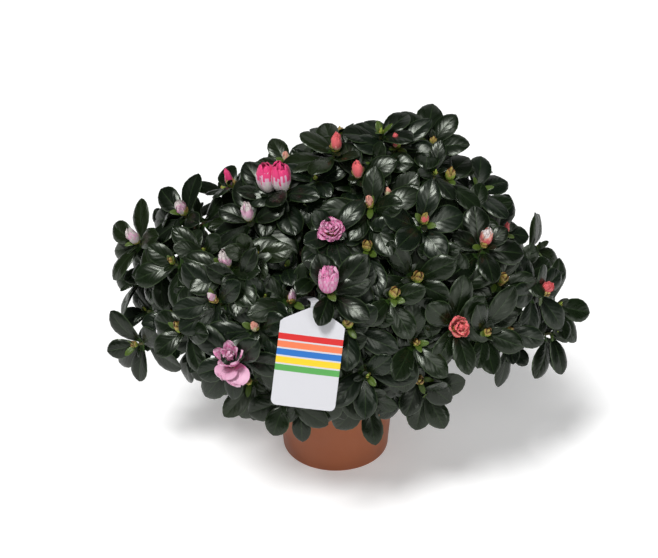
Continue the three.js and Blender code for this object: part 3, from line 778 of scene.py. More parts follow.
def bump_from(material, height, strength, distance):
    bump = node(material, "ShaderNodeBump", Strength=strength, Distance=distance)
    link(material, height, bump.inputs["Height"])
    return bump


def add_bump(material, place, scale, strength, distance, detail=4.0):
    noise = noise_at(material, place, scale, detail)
    bump = bump_from(material, noise, strength, distance)
    link(material, bump.outputs["Normal"], shader_inputs(material)["Normal"])


def add_roughness(material, place, scale, low, high):
    noise = noise_at(material, place, scale, 3.0)
    spread = node(material, "ShaderNodeMapRange")
    for socket, value in {"From Min": 0.3, "From Max": 0.7, "To Min": low, "To Max": high}.items():
        spread.inputs[socket].default_value = value
    link(material, noise, spread.inputs["Value"])
    link(material, spread.outputs["Result"], shader_inputs(material)["Roughness"])


def add_mottle(material, place, scale, stops, detail=5.0):
    """Colour that wanders among the stops, each a position and a colour."""
    noise = noise_at(material, place, scale, detail)
    ramp = node(material, "ShaderNodeValToRGB")
    elements = ramp.color_ramp.elements
    while len(elements) < len(stops):
        elements.new(0.5)
    for element, (position, colour) in zip(elements, stops):
        element.position = position
        element.color = (*colour, 1)
    link(material, noise, ramp.inputs["Fac"])
    link(material, ramp.outputs["Color"], shader_inputs(material)["Base Color"])


LEAF_TONES = [
    (0.0032, 0.0078, 0.0019),
    (0.0043, 0.0098, 0.0025),
    (0.0036, 0.0080, 0.0036),
    (0.0062, 0.0119, 0.0026),
    (0.0022, 0.0055, 0.0015),
]
# The other parts of a leaf: name, colour, lowest and highest roughness.
LEAF_PARTS = [
    ("leaf_young", (0.058, 0.098, 0.012), 0.34, 0.46),
    ("leaf_midrib", (0.015, 0.029, 0.009), 0.28, 0.4),
    ("leaf_stalk", (0.060, 0.115, 0.018), 0.4, 0.55),
    ("leaf_underside", (0.020, 0.036, 0.012), 0.5, 0.65),
    # The rim colour is lighter than the blade: a painted highlight, the glint along the rolled-down
    # margins.
    ("leaf_rim_painted_highlight", (0.022, 0.038, 0.014), 0.3, 0.42),
    ("leaf_foot", (0.020, 0.046, 0.008), 0.3, 0.42),
]
YOUNG, MIDRIB, STALK, UNDERSIDE, RIM_HIGHLIGHT, FOOT = (len(LEAF_TONES) + i for i in range(len(LEAF_PARTS)))


def leaf_material(name, colour, low, high):
    """Glossy leaf skin, quilted between its side veins. U runs across the veins and V along them."""
    material = plain_material(
        name, colour, low, Specular_IOR_Level=0.4, Specular_Tint=(0.94, 1, 0.88, 1)
    )
    place = coordinates(material, "UV")
    veins = node(material, "ShaderNodeTexWave", Scale=0.314, Distortion=1.6, Detail=1.0)
    veins.wave_profile = "SIN"
    link(material, place, veins.inputs["Vector"])
    quilt = bump_from(material, veins.outputs["Fac"], 0.11, 0.0007)
    streaks = noise_at(material, place, 0.9, 3.0)
    bump = bump_from(material, streaks, 0.143, 0.001)
    link(material, quilt.outputs["Normal"], bump.inputs["Normal"])
    link(material, bump.outputs["Normal"], shader_inputs(material)["Normal"])
    add_roughness(material, place, 1.4, low, high)
    return material


def leaf_materials():
    grown = [(f"leaf_{i + 1}", tone, 0.23, 0.39) for i, tone in enumerate(LEAF_TONES)]
    return [leaf_material(*look) for look in grown + LEAF_PARTS]


# --- leaves

LEAF_ROWS = np.array([0, 0.07, 0.18, 0.32, 0.47, 0.62, 0.76, 0.88, 0.96, 1.0])
LEAF_COLUMNS = np.array([-1, -0.93, -0.5, -0.035, 0.035, 0.5, 0.93, 1])
STALK_SHARE = 0.07
STALK_HALF = 0.9
LEAF_THICKNESS = 0.42


def leaf_half_widths(rows, width):
    """Half the width along a leaf: widest past the middle, with a rounded tip and a narrow stalk."""
    blade = np.clip((rows - STALK_SHARE) / (1 - STALK_SHARE), 0, 1)
    shape = blade**0.9 * np.clip(1 - blade**2.05, 0, 1) ** 0.74 / 0.461
    return width / 2 * shape + STALK_HALF * (1 - rows) + 0.12


def leaf_grid(leaf, rows=LEAF_ROWS, columns=LEAF_COLUMNS):
    """Points of a leaf's upper side. rows run from stalk to tip, and columns from edge to edge."""
    t = rows[:, None]
    u = columns[None, :]
    half = leaf_half_widths(t, leaf["width"])
    size = np.abs(u)
    rise = leaf["arch"] * leaf["length"] * 4 * t * (1 - t)
    cup = leaf["fold"] * size + leaf["bulge"] * size * (1 - size) * 4 - leaf["roll"] * size**4
    wave = leaf["wave"] * size * np.sin(2 * math.pi * (1.4 * t + leaf["phase"] + 0.25 * np.sign(u)))
    x = leaf["length"] * t * np.ones_like(u)
    y = half * u
    z = rise + half * (cup + wave) + leaf["twist"] * t * y
    across = np.cross(leaf["up"], leaf["way"])
    return (
        leaf["origin"]
        + x[..., None] * leaf["way"]
        + y[..., None] * across
        + z[..., None] * leaf["up"]
    )


# Where the gap to other leaves is measured, and where the pot, the label and the space are kept clear.
PROBE_ROWS = np.array([0.3, 0.5, 0.7, 0.9])
PROBE_COLUMNS = np.array([-0.7, 0, 0.7])
EDGE_ROWS = np.array([0.4, 0.7, 1.0])
EDGE_COLUMNS = np.array([-1, 1])


def add_leaf(batch, leaf):
    grid = leaf_grid(leaf)
    rows, columns = len(LEAF_ROWS), len(LEAF_COLUMNS)
    top = []
    for r in range(rows - 1):
        for c in range(columns - 1):
            slot = leaf["tone"]
            if r == 0:
                slot = STALK
            elif r == 1:
                slot = FOOT
            # The outermost strip on each side takes the rim colour, a painted highlight along the
            # margin.
            elif c in (0, columns - 2):
                slot = RIM_HIGHLIGHT
            elif c == 3 and leaf["tone"] != YOUNG:
                slot = MIDRIB
            top.append(slot)
    under = [STALK] * (columns - 1) + [UNDERSIDE] * (rows - 2) * (columns - 1)
    aside = np.abs(LEAF_COLUMNS[None, :])
    along = LEAF_ROWS[:, None]
    uvs = paired(7 * along - 2.4 * aside + 40 * leaf["phase"], aside + 9 * leaf["phase"])
    add_shell(batch, grid, -leaf["up"], LEAF_THICKNESS, top, under, uvs)


# What a leaf tries in turn to find room: shares of its spread and size, and a turn round its twig.
LEAF_TRIES = [
    (1.0, 1.0, 0.0),
    (0.86, 1.0, 0.16),
    (0.86, 1.0, -0.16),
    (1.14, 0.95, 0.0),
    (0.74, 0.92, 0.0),
    (1.0, 0.82, 0.26),
    (1.0, 0.82, -0.26),
    (0.66, 0.78, 0.0),
]


LEAF_SHAPE = {
    "arch": (0.04, 0.12),
    "fold": (0.02, 0.2),
    "bulge": (0.04, 0.13),
    "roll": (0.05, 0.22),
    "wave": (0.0, 0.09),
    "twist": (-0.25, 0.25),
}
YOUNG_LENGTH, YOUNG_WIDTH = 0.46, 0.3  # of a young leaf, as shares of a grown one
LEAF_SPREAD = (48, 88)  # degrees from the way the shoot faces, for the youngest and oldest leaf
LEAF_DROP = (0.5, 11)  # how far below the twig's tip they stand, in a rosette of 45 mm leaves


def grow_rosette(batch, shoot, mass, owner, tone):
    """Leaves round the end of a twig, the oldest lowest and longest."""
    kind = SHOOTS[shoot["kind"]]
    draw = shoot["draw"]
    facing = shoot["facing"]
    sideways = square_to(Z, facing)
    spin = 2 * math.pi * draw()
    total = kind["leaves"]
    for k in range(total):
        age = 1 - k / max(1, total - 1)
        is_young = k >= total - kind["young"]
        grown = YOUNG_LENGTH if is_young else 1
        length = kind["length"] * mix(0.72, 1.08, age) * draw.between(0.86, 1.1) * grown
        width = kind["width"] * mix(0.78, 1.06, age) * draw.between(0.9, 1.1)
        width *= YOUNG_WIDTH if is_young else 1
        spread = math.radians(mix(*LEAF_SPREAD, age**0.8) + draw.between(-8, 8)) * mix(0.6, 1, grown)
        angle = spin + k * GOLDEN_ANGLE
        shape = {
            "origin": shoot["point"] - shoot["way"] * mix(*LEAF_DROP, age) * kind["length"] / 45,
            **{key: draw.between(*span) for key, span in LEAF_SHAPE.items()},
            "phase": draw(),
            "tone": YOUNG if is_young and draw() < kind["fresh"] else tone,
        }
        best = None
        for narrower, shorter, turn in LEAF_TRIES:
            radial = turned(sideways, facing, angle + turn)
            lean = spread * narrower
            way = facing * math.cos(lean) + radial * math.sin(lean)
            way[2] -= 0.1 * math.sin(lean)
            way = unit(way)
            up = unit(facing - way * (facing @ way))
            leaf = {**shape, "way": way, "up": up, "length": length * shorter, "width": width * shorter}
            edge = leaf_grid(leaf, EDGE_ROWS, EDGE_COLUMNS).reshape(-1, 3)
            if not (inside_space(edge, mass) and clear_of_pot(edge) and clear_of_label(edge)):
                continue
            probe = leaf_grid(leaf, PROBE_ROWS, PROBE_COLUMNS).reshape(-1, 3)
            gap = CROWD.nearest(probe, (owner, k))
            if best is None or gap > best[0]:
                best = (gap, leaf, probe)
            if gap > LEAF_GAP:
                break
        if best is None or best[0] < kind["least_gap"]:
            continue
        add_leaf(batch, best[1])
        CROWD.add(best[2], (owner, k))


# --- shoots of one mass


def new_shoot(kind, rosette, point, root, sag, draw):
    """A twig that sags from its root to a point, and what it bears there."""
    curve = Curve(root, mix(root, point, 0.55) - Z * sag, point)
    return {
        "kind": kind,
        "seed": rosette["index"],
        "point": point,
        "facing": unit(facing_at(point) + wander(draw) * FACING_SCATTER),
        "way": curve.tangent(1),
        "curve": curve,
        "flower": rosette.get("flower"),
        "bud": rosette.get("bud"),
        "draw": draw,
    }


def grow_main_shoots(mass):
    """The twigs that leave the mass's stem in turn, the ones that turn away most first.

    A twig that would have to turn back too far is left out.
    """
    way = mass["curve"].tangent(1)
    start = mass["curve"].point(1) + way * CLEARANCE
    stem = Curve(start, start + way * STEM["length"] * mass["reach"])
    mass["stem"] = stem
    mass["shoots"] = []
    ordered = sorted(mass["rosettes"], key=lambda rosette: unit(rosette["point"] - start) @ way)
    widest = math.cos(math.radians(TWIG["widest"]))
    ordered = [rosette for rosette in ordered if unit(rosette["point"] - start) @ way > widest]
    for order, rosette in enumerate(ordered):
        root = stem.point(0.12 + 0.84 * (order + 0.5) / len(ordered))
        sag = TWIG["sag"] + TWIG["extra_sag"] * draws_for("sag", rosette["index"])()
        draw = draws_for("shoot", rosette["index"])
        mass["shoots"].append(new_shoot("main", rosette, rosette["point"], root, sag, draw))


def branch_from(shoot, kind, number, mass, taken):
    """A finer twig from a main one, to the emptiest of the places that it tries."""
    rule = BRANCHES[kind]
    draw = draws_for("branch", shoot["seed"], 57 * number + rule["seed"])
    outward = unit(shoot["point"] - DOME["focus"])
    sideways = square_to(Z, outward)
    first = 2 * math.pi * draw()
    best = None
    for attempt in range(BRANCH_TRIES):
        angle = first + 2 * math.pi * attempt / BRANCH_TRIES
        aside = turned(sideways, outward, angle) * draw.between(*BRANCH_REACH) * rule["reach"]
        end = DOME["focus"] + (shoot["point"] + aside - DOME["focus"]) * draw.between(*rule["depth"])
        if mass_at(MASSES, end) is not mass or not clear_of_pot(end[None, :], BRANCH_POT_GAP):
            continue
        if not clear_of_label(end[None, :], BRANCH_LABEL_GAP):
            continue
        room = min(np.linalg.norm(end - other) for other in taken)
        if best is None or room > best[0]:
            best = (room, end)
    if best is None or best[0] < BRANCH_ROOM:
        return None
    end = best[1]
    root = shoot["curve"].point(draw.between(*rule["root"]))
    taken.append(end)
    return new_shoot(kind, {"index": shoot["seed"]}, end, root, draw.between(*BRANCH_SAG), draw)


def grow_side_shoots():
    taken = [shoot["point"] for mass in MASSES for shoot in mass["shoots"]]
    for kind, rule in BRANCHES.items():
        for mass in MASSES:
            mains = [shoot for shoot in mass["shoots"] if shoot["kind"] == "main"]
            for shoot in mains:
                for number in range(rule["count"]):
                    made = branch_from(shoot, kind, number, mass, taken)
                    if made:
                        mass["shoots"].append(made)


# --- wood


BARK_LOBES = ((2, 1.0), (3, 0.8), (5, 0.6), (8, 0.45))  # how many round a limb, and their weight
ROOTS = 5  # lobes of the trunk's foot
GREEN_SHARE = 0.72  # of a twig's length, from where it is still green


def wandering_radii(base, tip, count, sides, draw, ridge, knots=0):
    """Radii for each point and side of a limb: ridges that run along it, and knots.

    ridge is the height of the ridges as a share of the radius.
    """
    share = np.linspace(0, 1, count)[:, None]
    angle = turns(sides)
    grain = np.zeros((count, sides))
    for lobes, weight in BARK_LOBES:
        phase = 2 * math.pi * draw()
        drift = draw.between(-5, 5)
        wave = 2 * math.pi * draw.between(1.5, 5)
        winding = 0.8 * np.sin(wave * share + phase)
        grain += weight * np.cos(lobes * angle + phase + drift * share + winding)
    radii = mix(base, tip, share) * (1 + ridge * grain)
    for _ in range(knots):
        place = draw.between(0.08, 0.95)
        side = 2 * math.pi * draw()
        size = draw.between(0.12, 0.3)
        lump = np.exp(-(((share - place) / 0.025) ** 2)) * np.exp(2.2 * (np.cos(angle - side) - 1))
        radii = radii * (1 + size * lump)
    return radii


def add_limb(batch, curve, sizes, sides, spacing, draw, ridge, knots):
    count = max(4, int(curve.lengths[-1] / spacing) + 1)
    radii = wandering_radii(sizes["base"], sizes["tip"], count, sides, draw, ridge, knots)
    batch.add(*tube(curve.line(count), radii, sides))


def make_trunk(materials):
    batch = Batch()
    curve = trunk_curve()
    count, sides = 72, 48
    share = np.linspace(0, 1, count)[:, None]
    draw = draws_for("trunk_bark")
    radii = wandering_radii(TRUNK["waist"], TRUNK["tip"], count, sides, draw, 0.035, knots=9)
    flare = (TRUNK["flare"] - TRUNK["waist"]) * np.clip(1 - share / 0.25, 0, None) ** 2
    roots = 1 + 0.35 * np.cos(ROOTS * np.arange(sides)[None, :] * 2 * math.pi / sides + 0.7)
    points, faces = tube(curve.line(count), radii + flare * roots, sides)
    points[:sides, 2] = SOIL_TOP
    batch.add(points, faces)
    finish_piece(batch.make("trunk_bark", materials), "bark", "trunk")


def make_boughs(materials):
    batch = Batch()
    for i, mass in enumerate(MASSES):
        draw = draws_for("bough_bark", i)
        add_limb(batch, mass["curve"], BOUGH, sides=16, spacing=2.4, draw=draw, ridge=0.04, knots=6)
    finish_piece(batch.make("boughs_bark", materials), "bark", *[mass["bough"] for mass in MASSES])


def make_twigs(materials):
    """The stems and twigs inside the foliage. The last part of each twig is still green."""
    batch = Batch()
    sides = 6
    for i, mass in enumerate(MASSES):
        stem = mass["stem"]
        joined = Curve(mass["curve"].point(0.97), stem.point(0.0), stem.point(1))
        draw = draws_for("stem_bark", i)
        add_limb(batch, joined, STEM, sides=10, spacing=3, draw=draw, ridge=0.035, knots=3)
        for k, shoot in enumerate(mass["shoots"]):
            base, tip = SHOOTS[shoot["kind"]]["radii"]
            draw = draws_for("twig_bark", i, k)
            count = max(7, int(shoot["curve"].lengths[-1] / 6))
            radii = wandering_radii(base, tip, count, sides, draw, ridge=0.05, knots=2)
            points, faces = tube(shoot["curve"].line(count), radii, sides)
            green_from = (int(GREEN_SHARE * (count - 1)) + 1) * sides
            slots = [1 if max(face) >= green_from else 0 for face in faces]
            slots[-2] = 0
            batch.add(points, faces, slots)
    finish_piece(batch.make("twigs", materials), "bark")


# --- buds and flowers

# Slots of the petals and bud scales, in the order of the colours below.
WHITE, BLUSH, PINK, HOT, CORAL, PEACH, CREAM, LEAF_GREEN, SCALE_GREEN, SCALE_TAN, SCALE_BROWN = range(11)
BLOOM_COLOURS = [
    ("petal_white", (0.62, 0.55, 0.54)),
    ("petal_blush", (0.68, 0.38, 0.52)),
    ("petal_pink", (0.66, 0.20, 0.40)),
    ("petal_hot", (0.70, 0.035, 0.17)),
    ("petal_coral", (0.70, 0.12, 0.13)),
    ("petal_peach", (0.72, 0.33, 0.25)),
    ("petal_cream", (0.70, 0.66, 0.38)),
    ("bud_green", (0.30, 0.40, 0.06)),
    ("scale_green", (0.23, 0.26, 0.05)),
    ("scale_tan", (0.36, 0.27, 0.07)),
    ("scale_brown", (0.17, 0.075, 0.025)),
]
CALYX = [SCALE_GREEN, SCALE_TAN, SCALE_BROWN]


def bloom_materials():
    made = []
    for i, (name, colour) in enumerate(BLOOM_COLOURS):
        skin = {"roughness": 0.5, "Sheen_Weight": 0.15} if i <= CREAM else {"roughness": 0.42}
        material = plain_material(name, colour, Specular_IOR_Level=0.4, **skin)
        place = coordinates(material, "UV", (14.0, 1.2, 1.0))
        add_bump(material, place, 1.5, 0.3, 0.0004, detail=2.0)
        made.append(material)
    return made


def axes_round(facing, angle):
    """Two axes square to a facing, the first one at an angle round it."""
    side = turned(square_to(facing, Z), facing, angle)
    return side, np.cross(facing, side)


# Rows and columns of a petal of a flower, of a small bud and of a bud scale.
PETAL_GRID = (10, 9)
SMALL_PETAL_GRID = (7, 6)
SCALE_GRID = (5, 4)
PETAL_THICKNESS = 0.35


def add_petal(batch, centre, axis, angle, petal):
    """One petal. lean gives its way against the axis in degrees at its foot, middle and tip."""
    rows, columns = petal.get("grid", PETAL_GRID)
    phase = petal["phase"]
    folds = petal["folds"]
    w = np.linspace(-1, 1, columns)[None, :]
    v = 1 - (1 - np.linspace(0, 1, rows)) ** 1.5
    lean = np.radians(np.interp(v, np.linspace(0, 1, len(petal["lean"])), petal["lean"]))
    step = petal["length"] * np.diff(v)
    middle = (lean[1:] + lean[:-1]) / 2
    out = petal["foot"] + np.concatenate([[0], np.cumsum(np.sin(middle) * step)])
    up = petal.get("rise", 0) + np.concatenate([[0], np.cumsum(np.cos(middle) * step)])
    v = v[:, None]
    broad = 0.32 + 0.68 * np.clip(v / 0.62, 0, 1) ** 0.8
    half = petal["width"] / 2 * broad * np.clip(1.01 - v**6, 0, 1) ** 0.5
    wrap = np.interp(v, (0, 1), petal["wrap"])
    swing = w * half / wrap
    ruffle = petal["ruffle"] * v**1.5 * np.abs(w) ** 0.6 * np.sin(folds * math.pi * w + phase)
    ruffle = ruffle + 0.6 * petal["ruffle"] * v**3 * np.cos(1.7 * folds * math.pi * w - phase)
    outward = ruffle - wrap * (1 - np.cos(swing))
    lean = lean[:, None]
    radial, tangential = axes_round(axis, angle)
    out = out[:, None] + np.cos(lean) * outward
    frill = petal.get("frill", 0) * v**5 * np.sin(1.6 * folds * math.pi * w + 2 * phase)
    drop = petal.get("drop", 0.1) * petal["length"] * v * w**2
    up = up[:, None] - np.sin(lean) * outward + frill - drop
    grid = (
        centre
        + out[..., None] * radial
        + up[..., None] * axis
        + (wrap * np.sin(swing))[..., None] * tangential
    )
    below = np.cos(lean[1:-1])[..., None] * radial - np.sin(lean[1:-1])[..., None] * axis
    colours = petal["slots"]
    streaks = petal.get("streaks", 0.04) * np.sin(11 * w + 3 * phase)
    flame = 0.07 * np.cos(3 * w + phase) + streaks
    place = np.clip(v + flame, 0, 0.999)[:-1, :-1] * len(colours)
    slots = [colours[int(i)] for i in place.ravel()]
    add_shell(batch, grid, below, PETAL_THICKNESS, slots, slots, paired(w * 0.5 + phase, v + phase))


def whorl(batch, centre, axis, count, first, draw, petal, jitter=0.18):
    """Petals round an axis, each a little different. The order of the draws matters."""
    for k in range(count):
        size = draw.between(0.9, 1.08)
        one = {
            **petal,
            "length": petal["length"] * size,
            "lean": [a + draw.between(-7, 7) for a in petal["lean"]],
            "width": petal["width"] * draw.between(0.92, 1.08),
            "phase": 2 * math.pi * draw(),
        }
        angle = first + 2 * math.pi * k / count + draw.between(-jitter, jitter)
        add_petal(batch, centre, axis, angle, one)


def scale_whorl(batch, centre, axis, radius, length, rise, count, first, slots, lean_in=-12):
    """Bud scales that hug the foot of a bud, with a keel and a pointed tip."""
    for k in range(count):
        petal = {
            "length": length,
            "width": radius * 2.1,
            "foot": radius * 0.45,
            "lean": (46, 2, lean_in),
            "wrap": (radius * 0.8, radius * 0.95),
            "ruffle": 0.0,
            "folds": 1,
            "phase": 0.37 * k,
            "rise": rise,
            "slots": slots,
            "grid": SCALE_GRID,
        }
        add_petal(batch, centre, axis, first + 2 * math.pi * k / count, petal)


def add_core(batch, centre, axis, radius, length, slot, draw, folds=5, sharp=1.0, count=9, sides=15):
    """The closed heart of a bud, with the edges of its rolled petals as twisted folds."""
    t = np.linspace(0, 1, count)[:, None]
    belly = np.sin(math.pi * np.clip(t, 0.02, 0.985) ** 0.75) ** (0.62 * sharp)
    twist = 1 + 0.1 * np.cos(folds * turns(sides) + 2.4 * t + 2 * math.pi * draw()) * t
    line = centre + np.linspace(0, length, count)[:, None] * axis
    batch.add(*tube(line, radius * belly * twist, sides), slot)


def add_tight_bud(batch, centre, axis, radius, height, slots, draw, grid=PETAL_GRID):
    """A bud whose petals still wrap round each other."""
    heart = centre + axis * 0.14 * height
    add_core(batch, heart, axis, radius * 0.74, height * 0.86, slots[-1], draw, sides=12)
    petal = {
        "length": height * 1.04,
        "width": radius * 2.5,
        "foot": radius * 0.3,
        "lean": (58, 3, -15, -34),
        "wrap": (radius * 0.7, radius * 0.9),
        "frill": radius * 0.26,
        "drop": 0.02,
        "grid": grid,
        "ruffle": radius * 0.09,
        "folds": 1.5,
        "slots": slots,
    }
    inner = {**petal, "length": height * 1.12, "lean": (46, -1, -18, -36)}
    whorl(batch, centre, axis, 3, 2 * math.pi * draw(), draw, inner, 0.1)
    whorl(batch, centre, axis, 3, 2 * math.pi * draw(), draw, petal, 0.1)


BLOOMS = {
    # look: colours from foot to tip, then whorls of (count, length, width, foot, lean, ruffle, folds)
    "two_tone": ([WHITE, WHITE, WHITE, BLUSH, HOT, HOT, HOT], [
        (3, 1.02, 1.3, 0.06, (40, 0, -8, -30), 0.06, 2.2),
        (4, 1.04, 1.9, 0.14, (62, 4, -6, -36), 0.06, 2.2),
        (4, 1.06, 2.2, 0.20, (76, 8, -6, -44), 0.05, 2.4),
    ]),
    # The hot pink at the petals' feet is painted shade in the deep folds of the ball.
    "open_pink": ([HOT, HOT, PINK, PINK, BLUSH, PINK], [
        (4, 0.86, 0.8, 0.02, (4, -6, 30), 0.12, 3.4),
        (5, 0.88, 0.9, 0.10, (20, 4, 46), 0.12, 3.4),
        (6, 0.86, 1.0, 0.18, (40, 16, 58), 0.12, 3.2),
        (7, 0.82, 1.1, 0.28, (60, 32, 66), 0.11, 3.0),
        (7, 0.74, 1.2, 0.36, (80, 52, 74), 0.10, 2.8),
    ]),
    "ruffled": ([PINK, PINK, BLUSH, PINK, BLUSH, PINK], [
        (3, 1.08, 0.95, 0.05, (30, 0, -10, -12), 0.14, 3.0),
        (4, 1.08, 1.2, 0.12, (56, 4, -8, -18), 0.14, 3.0),
        (5, 1.00, 1.4, 0.18, (70, 10, -4, -20), 0.13, 2.8),
    ]),
    "loose": ([HOT, PINK, PINK, BLUSH, PINK, BLUSH], [
        (4, 0.82, 0.7, 0.02, (4, -6, 24), 0.09, 2.8),
        (5, 0.86, 0.8, 0.08, (22, 2, 34), 0.09, 2.8),
        (5, 0.84, 1.0, 0.14, (46, 10, 44), 0.10, 2.6),
    ]),
    "open_coral": ([CORAL, CORAL, CORAL, PEACH, CORAL], [
        (4, 0.84, 0.8, 0.03, (6, -6, 14), 0.10, 2.8),
        (5, 0.86, 1.1, 0.11, (32, 4, 26), 0.10, 2.6),
        (6, 0.82, 1.3, 0.19, (60, 18, 34), 0.09, 2.4),
    ]),
}
# Looks of flowers and buds that are still tight: colours from foot to tip.
TIGHT = {
    "tipped_coral": [PEACH, PEACH, CORAL, CORAL, PEACH, WHITE],
    "coral": [PEACH, CORAL, CORAL, CORAL],
    "pale": [CREAM, WHITE, BLUSH, BLUSH, WHITE],
    "white": [WHITE, WHITE, BLUSH, WHITE],
    "hot": [BLUSH, HOT, HOT],
    "cream": [CREAM, CREAM, PEACH],
    "peach": [CREAM, PEACH, PEACH],
    "brown": [SCALE_GREEN, CORAL, SCALE_TAN],
    "scales": [SCALE_GREEN, LEAF_GREEN, CREAM],
}


STREAKED = ("two_tone", "ruffled")


def add_bloom(batch, centre, axis, radius, height, look, draw):
    """A flower on its calyx: whorls of petals round a core, or a bud that is still tight."""
    if look in TIGHT:
        radius *= 0.84
        add_tight_bud(batch, centre, axis, radius, height, TIGHT[look], draw)
        scale_whorl(batch, centre, axis, radius * 0.85, height * 0.42, -1.2, 5, draw() * 6, CALYX)
        return
    colours, whorls = BLOOMS[look]
    add_core(batch, centre + axis * 0.1 * height, axis, radius * 0.3, height * 0.62, colours[-1], draw)
    for number, (count, length, width, foot, lean, ruffle, folds) in enumerate(whorls):
        petal = {
            "length": length * height,
            "width": width * radius,
            "foot": foot * radius,
            "lean": lean,
            "wrap": (radius * 0.55, radius * mix(0.5, 1.25, number / max(1, len(whorls) - 1))),
            "ruffle": ruffle * radius,
            "frill": 0.7 * ruffle * radius,
            "drop": 0.02,
            "folds": folds,
            "slots": colours,
            "streaks": 0.13 if look in STREAKED else 0.04,
        }
        whorl(batch, centre, axis, count, 0.9 * number + draw(), draw, petal)
    if look == "loose":
        add_fallen_petals(batch, centre, axis, radius, height, draw)
    scale_whorl(batch, centre, axis, radius * 0.42, height * 0.26, -1.0, 5, draw() * 6, CALYX)


# The way each one falls, its length as a share of the flower's height, and its lean.
FALLEN_PETALS = [((0.4, -1, -0.6), 0.86, (62, 88, 104)), ((-0.5, -1, -0.2), 0.74, (54, 70, 84))]


def add_fallen_petals(batch, centre, axis, radius, height, draw):
    """The broad outer petals of a flower that has dropped open to one side, lowest first."""
    side, other = axes_round(axis, 0)
    for towards, length, lean in FALLEN_PETALS:
        petal = {
            "length": length * height,
            "width": 1.9 * radius,
            "foot": 0.12 * radius,
            "lean": lean,
            "wrap": (radius * 0.5, radius * 2.2),
            "ruffle": 0.13 * radius,
            "frill": 0.12 * radius,
            "drop": 0.05,
            "folds": 2.8,
            "phase": 6 * draw(),
            "slots": [PINK, BLUSH, BLUSH, BLUSH],
        }
        add_petal(batch, centre, axis, math.atan2(other @ towards, side @ towards), petal)


def add_scaly_bud(batch, centre, axis, radius, height, look, draw):
    """A flower bud in its scales. The petals break out at its tip, except in a closed bud."""
    first = draw() * 6
    outer = [SCALE_GREEN, LEAF_GREEN, SCALE_TAN, SCALE_BROWN]
    if look == "scales":
        add_core(batch, centre, axis, radius * 0.78, height, SCALE_TAN, draw, 3, 1.3, 7, 9)
        scale_whorl(batch, centre, axis, radius * 0.95, height, 0, 3, first, outer, -40)
        scale_whorl(batch, centre, axis, radius * 1.04, height * 0.78, -0.4, 4, first + 0.6, outer, -24)
    else:
        add_tight_bud(batch, centre, axis, radius * 0.86, height, TIGHT[look], draw, SMALL_PETAL_GRID)
        scale_whorl(batch, centre, axis, radius, height * 0.62, 0, 3, first, outer)
        scale_whorl(batch, centre, axis, radius * 1.06, height * 0.48, -0.4, 4, first + 0.6, outer)
    lowest = [SCALE_TAN, SCALE_BROWN]
    scale_whorl(batch, centre, axis, radius * 1.1, height * 0.42, -0.8, 4, first + 1.3, lowest)


def add_leaf_bud(batch, centre, axis, radius, height, draw):
    """The small pointed bud of a shoot that carries no flower."""
    add_core(batch, centre, axis, radius * 0.8, height, LEAF_GREEN, draw, 3, 1.3, 6, 7)
    first = draw() * 6
    slots = [SCALE_GREEN, LEAF_GREEN, SCALE_TAN]
    scale_whorl(batch, centre, axis, radius, height * 0.78, 0, 3, first, slots)


def bud_axis(shoot, draw, lean=0.35):
    return unit(shoot["facing"] + 0.7 * Z + wander(draw) * lean)


CROWD_HEIGHTS = (0.3, 0.65, 1.0)
CROWD_RADII = (0.45, 0.9)


def crowd_round(centre, axis, radius, height, owner):
    """Tells the leaves where a bud or flower stands, by rings of points at shares of its size."""
    points = [centre + axis * height]
    for share in CROWD_HEIGHTS:
        for reach in CROWD_RADII:
            count = max(6, round(1.2 * reach * radius))
            for k in range(count):
                side, _ = axes_round(axis, 2 * math.pi * k / count)
                points.append(centre + axis * height * share + side * radius * reach)
    CROWD.add(points, owner)


def make_buds_and_flowers(materials):
    """What each twig bears at its end. Sizes in the calls are radius and height."""
    flowers = Batch()
    buds = Batch()
    for mass in MASSES:
        for k, shoot in enumerate(mass["shoots"]):
            point = shoot["point"]
            draw = draws_for("bud", shoot["seed"], 17 * k)
            if shoot["flower"]:
                lift, radius, height, look = shoot["flower"]
                way = unit(shoot["facing"] + lift * Z)
                add_bloom(flowers, point + way, way, radius, height, look, draw)
                crowd_round(point + way, way, radius, height, ("flower", shoot["seed"]))
                for _ in range(2):
                    axis = bud_axis(shoot, draw, 1.7)
                    foot = point + axis * 2 - shoot["way"] * 2
                    add_scaly_bud(buds, foot, axis, 3.0, draw.between(9, 12), "scales", draw)
            elif shoot["bud"]:
                axis = bud_axis(shoot, draw)
                height = draw.between(15, 18)
                add_scaly_bud(buds, point, axis, draw.between(3.5, 4.3), height, shoot["bud"], draw)
                crowd_round(point, axis, 4, height, ("bud", shoot["seed"]))
                if draw() < 0.6:
                    axis = bud_axis(shoot, draw, 1.6)
                    foot = point + axis - shoot["way"] * 2
                    add_scaly_bud(buds, foot, axis, 2.8, 9.0, "scales", draw)
            elif shoot["kind"] == "main":
                axis = bud_axis(shoot, draw)
                pick = draw()
                if pick < 0.5:
                    size = draw.between(2.8, 3.6), draw.between(10, 14)
                    add_scaly_bud(buds, point, axis, *size, "scales" if pick < 0.4 else "cream", draw)
                else:
                    add_leaf_bud(buds, point, axis, 2.2, draw.between(7, 10), draw)
            else:
                add_leaf_bud(buds, point, bud_axis(shoot, draw), 1.8, draw.between(5, 8), draw)
    finish_piece(flowers.make("flowers", materials, sharp=80), "foliage")
    finish_piece(buds.make("buds", materials, sharp=80), "foliage")


# --- foliage


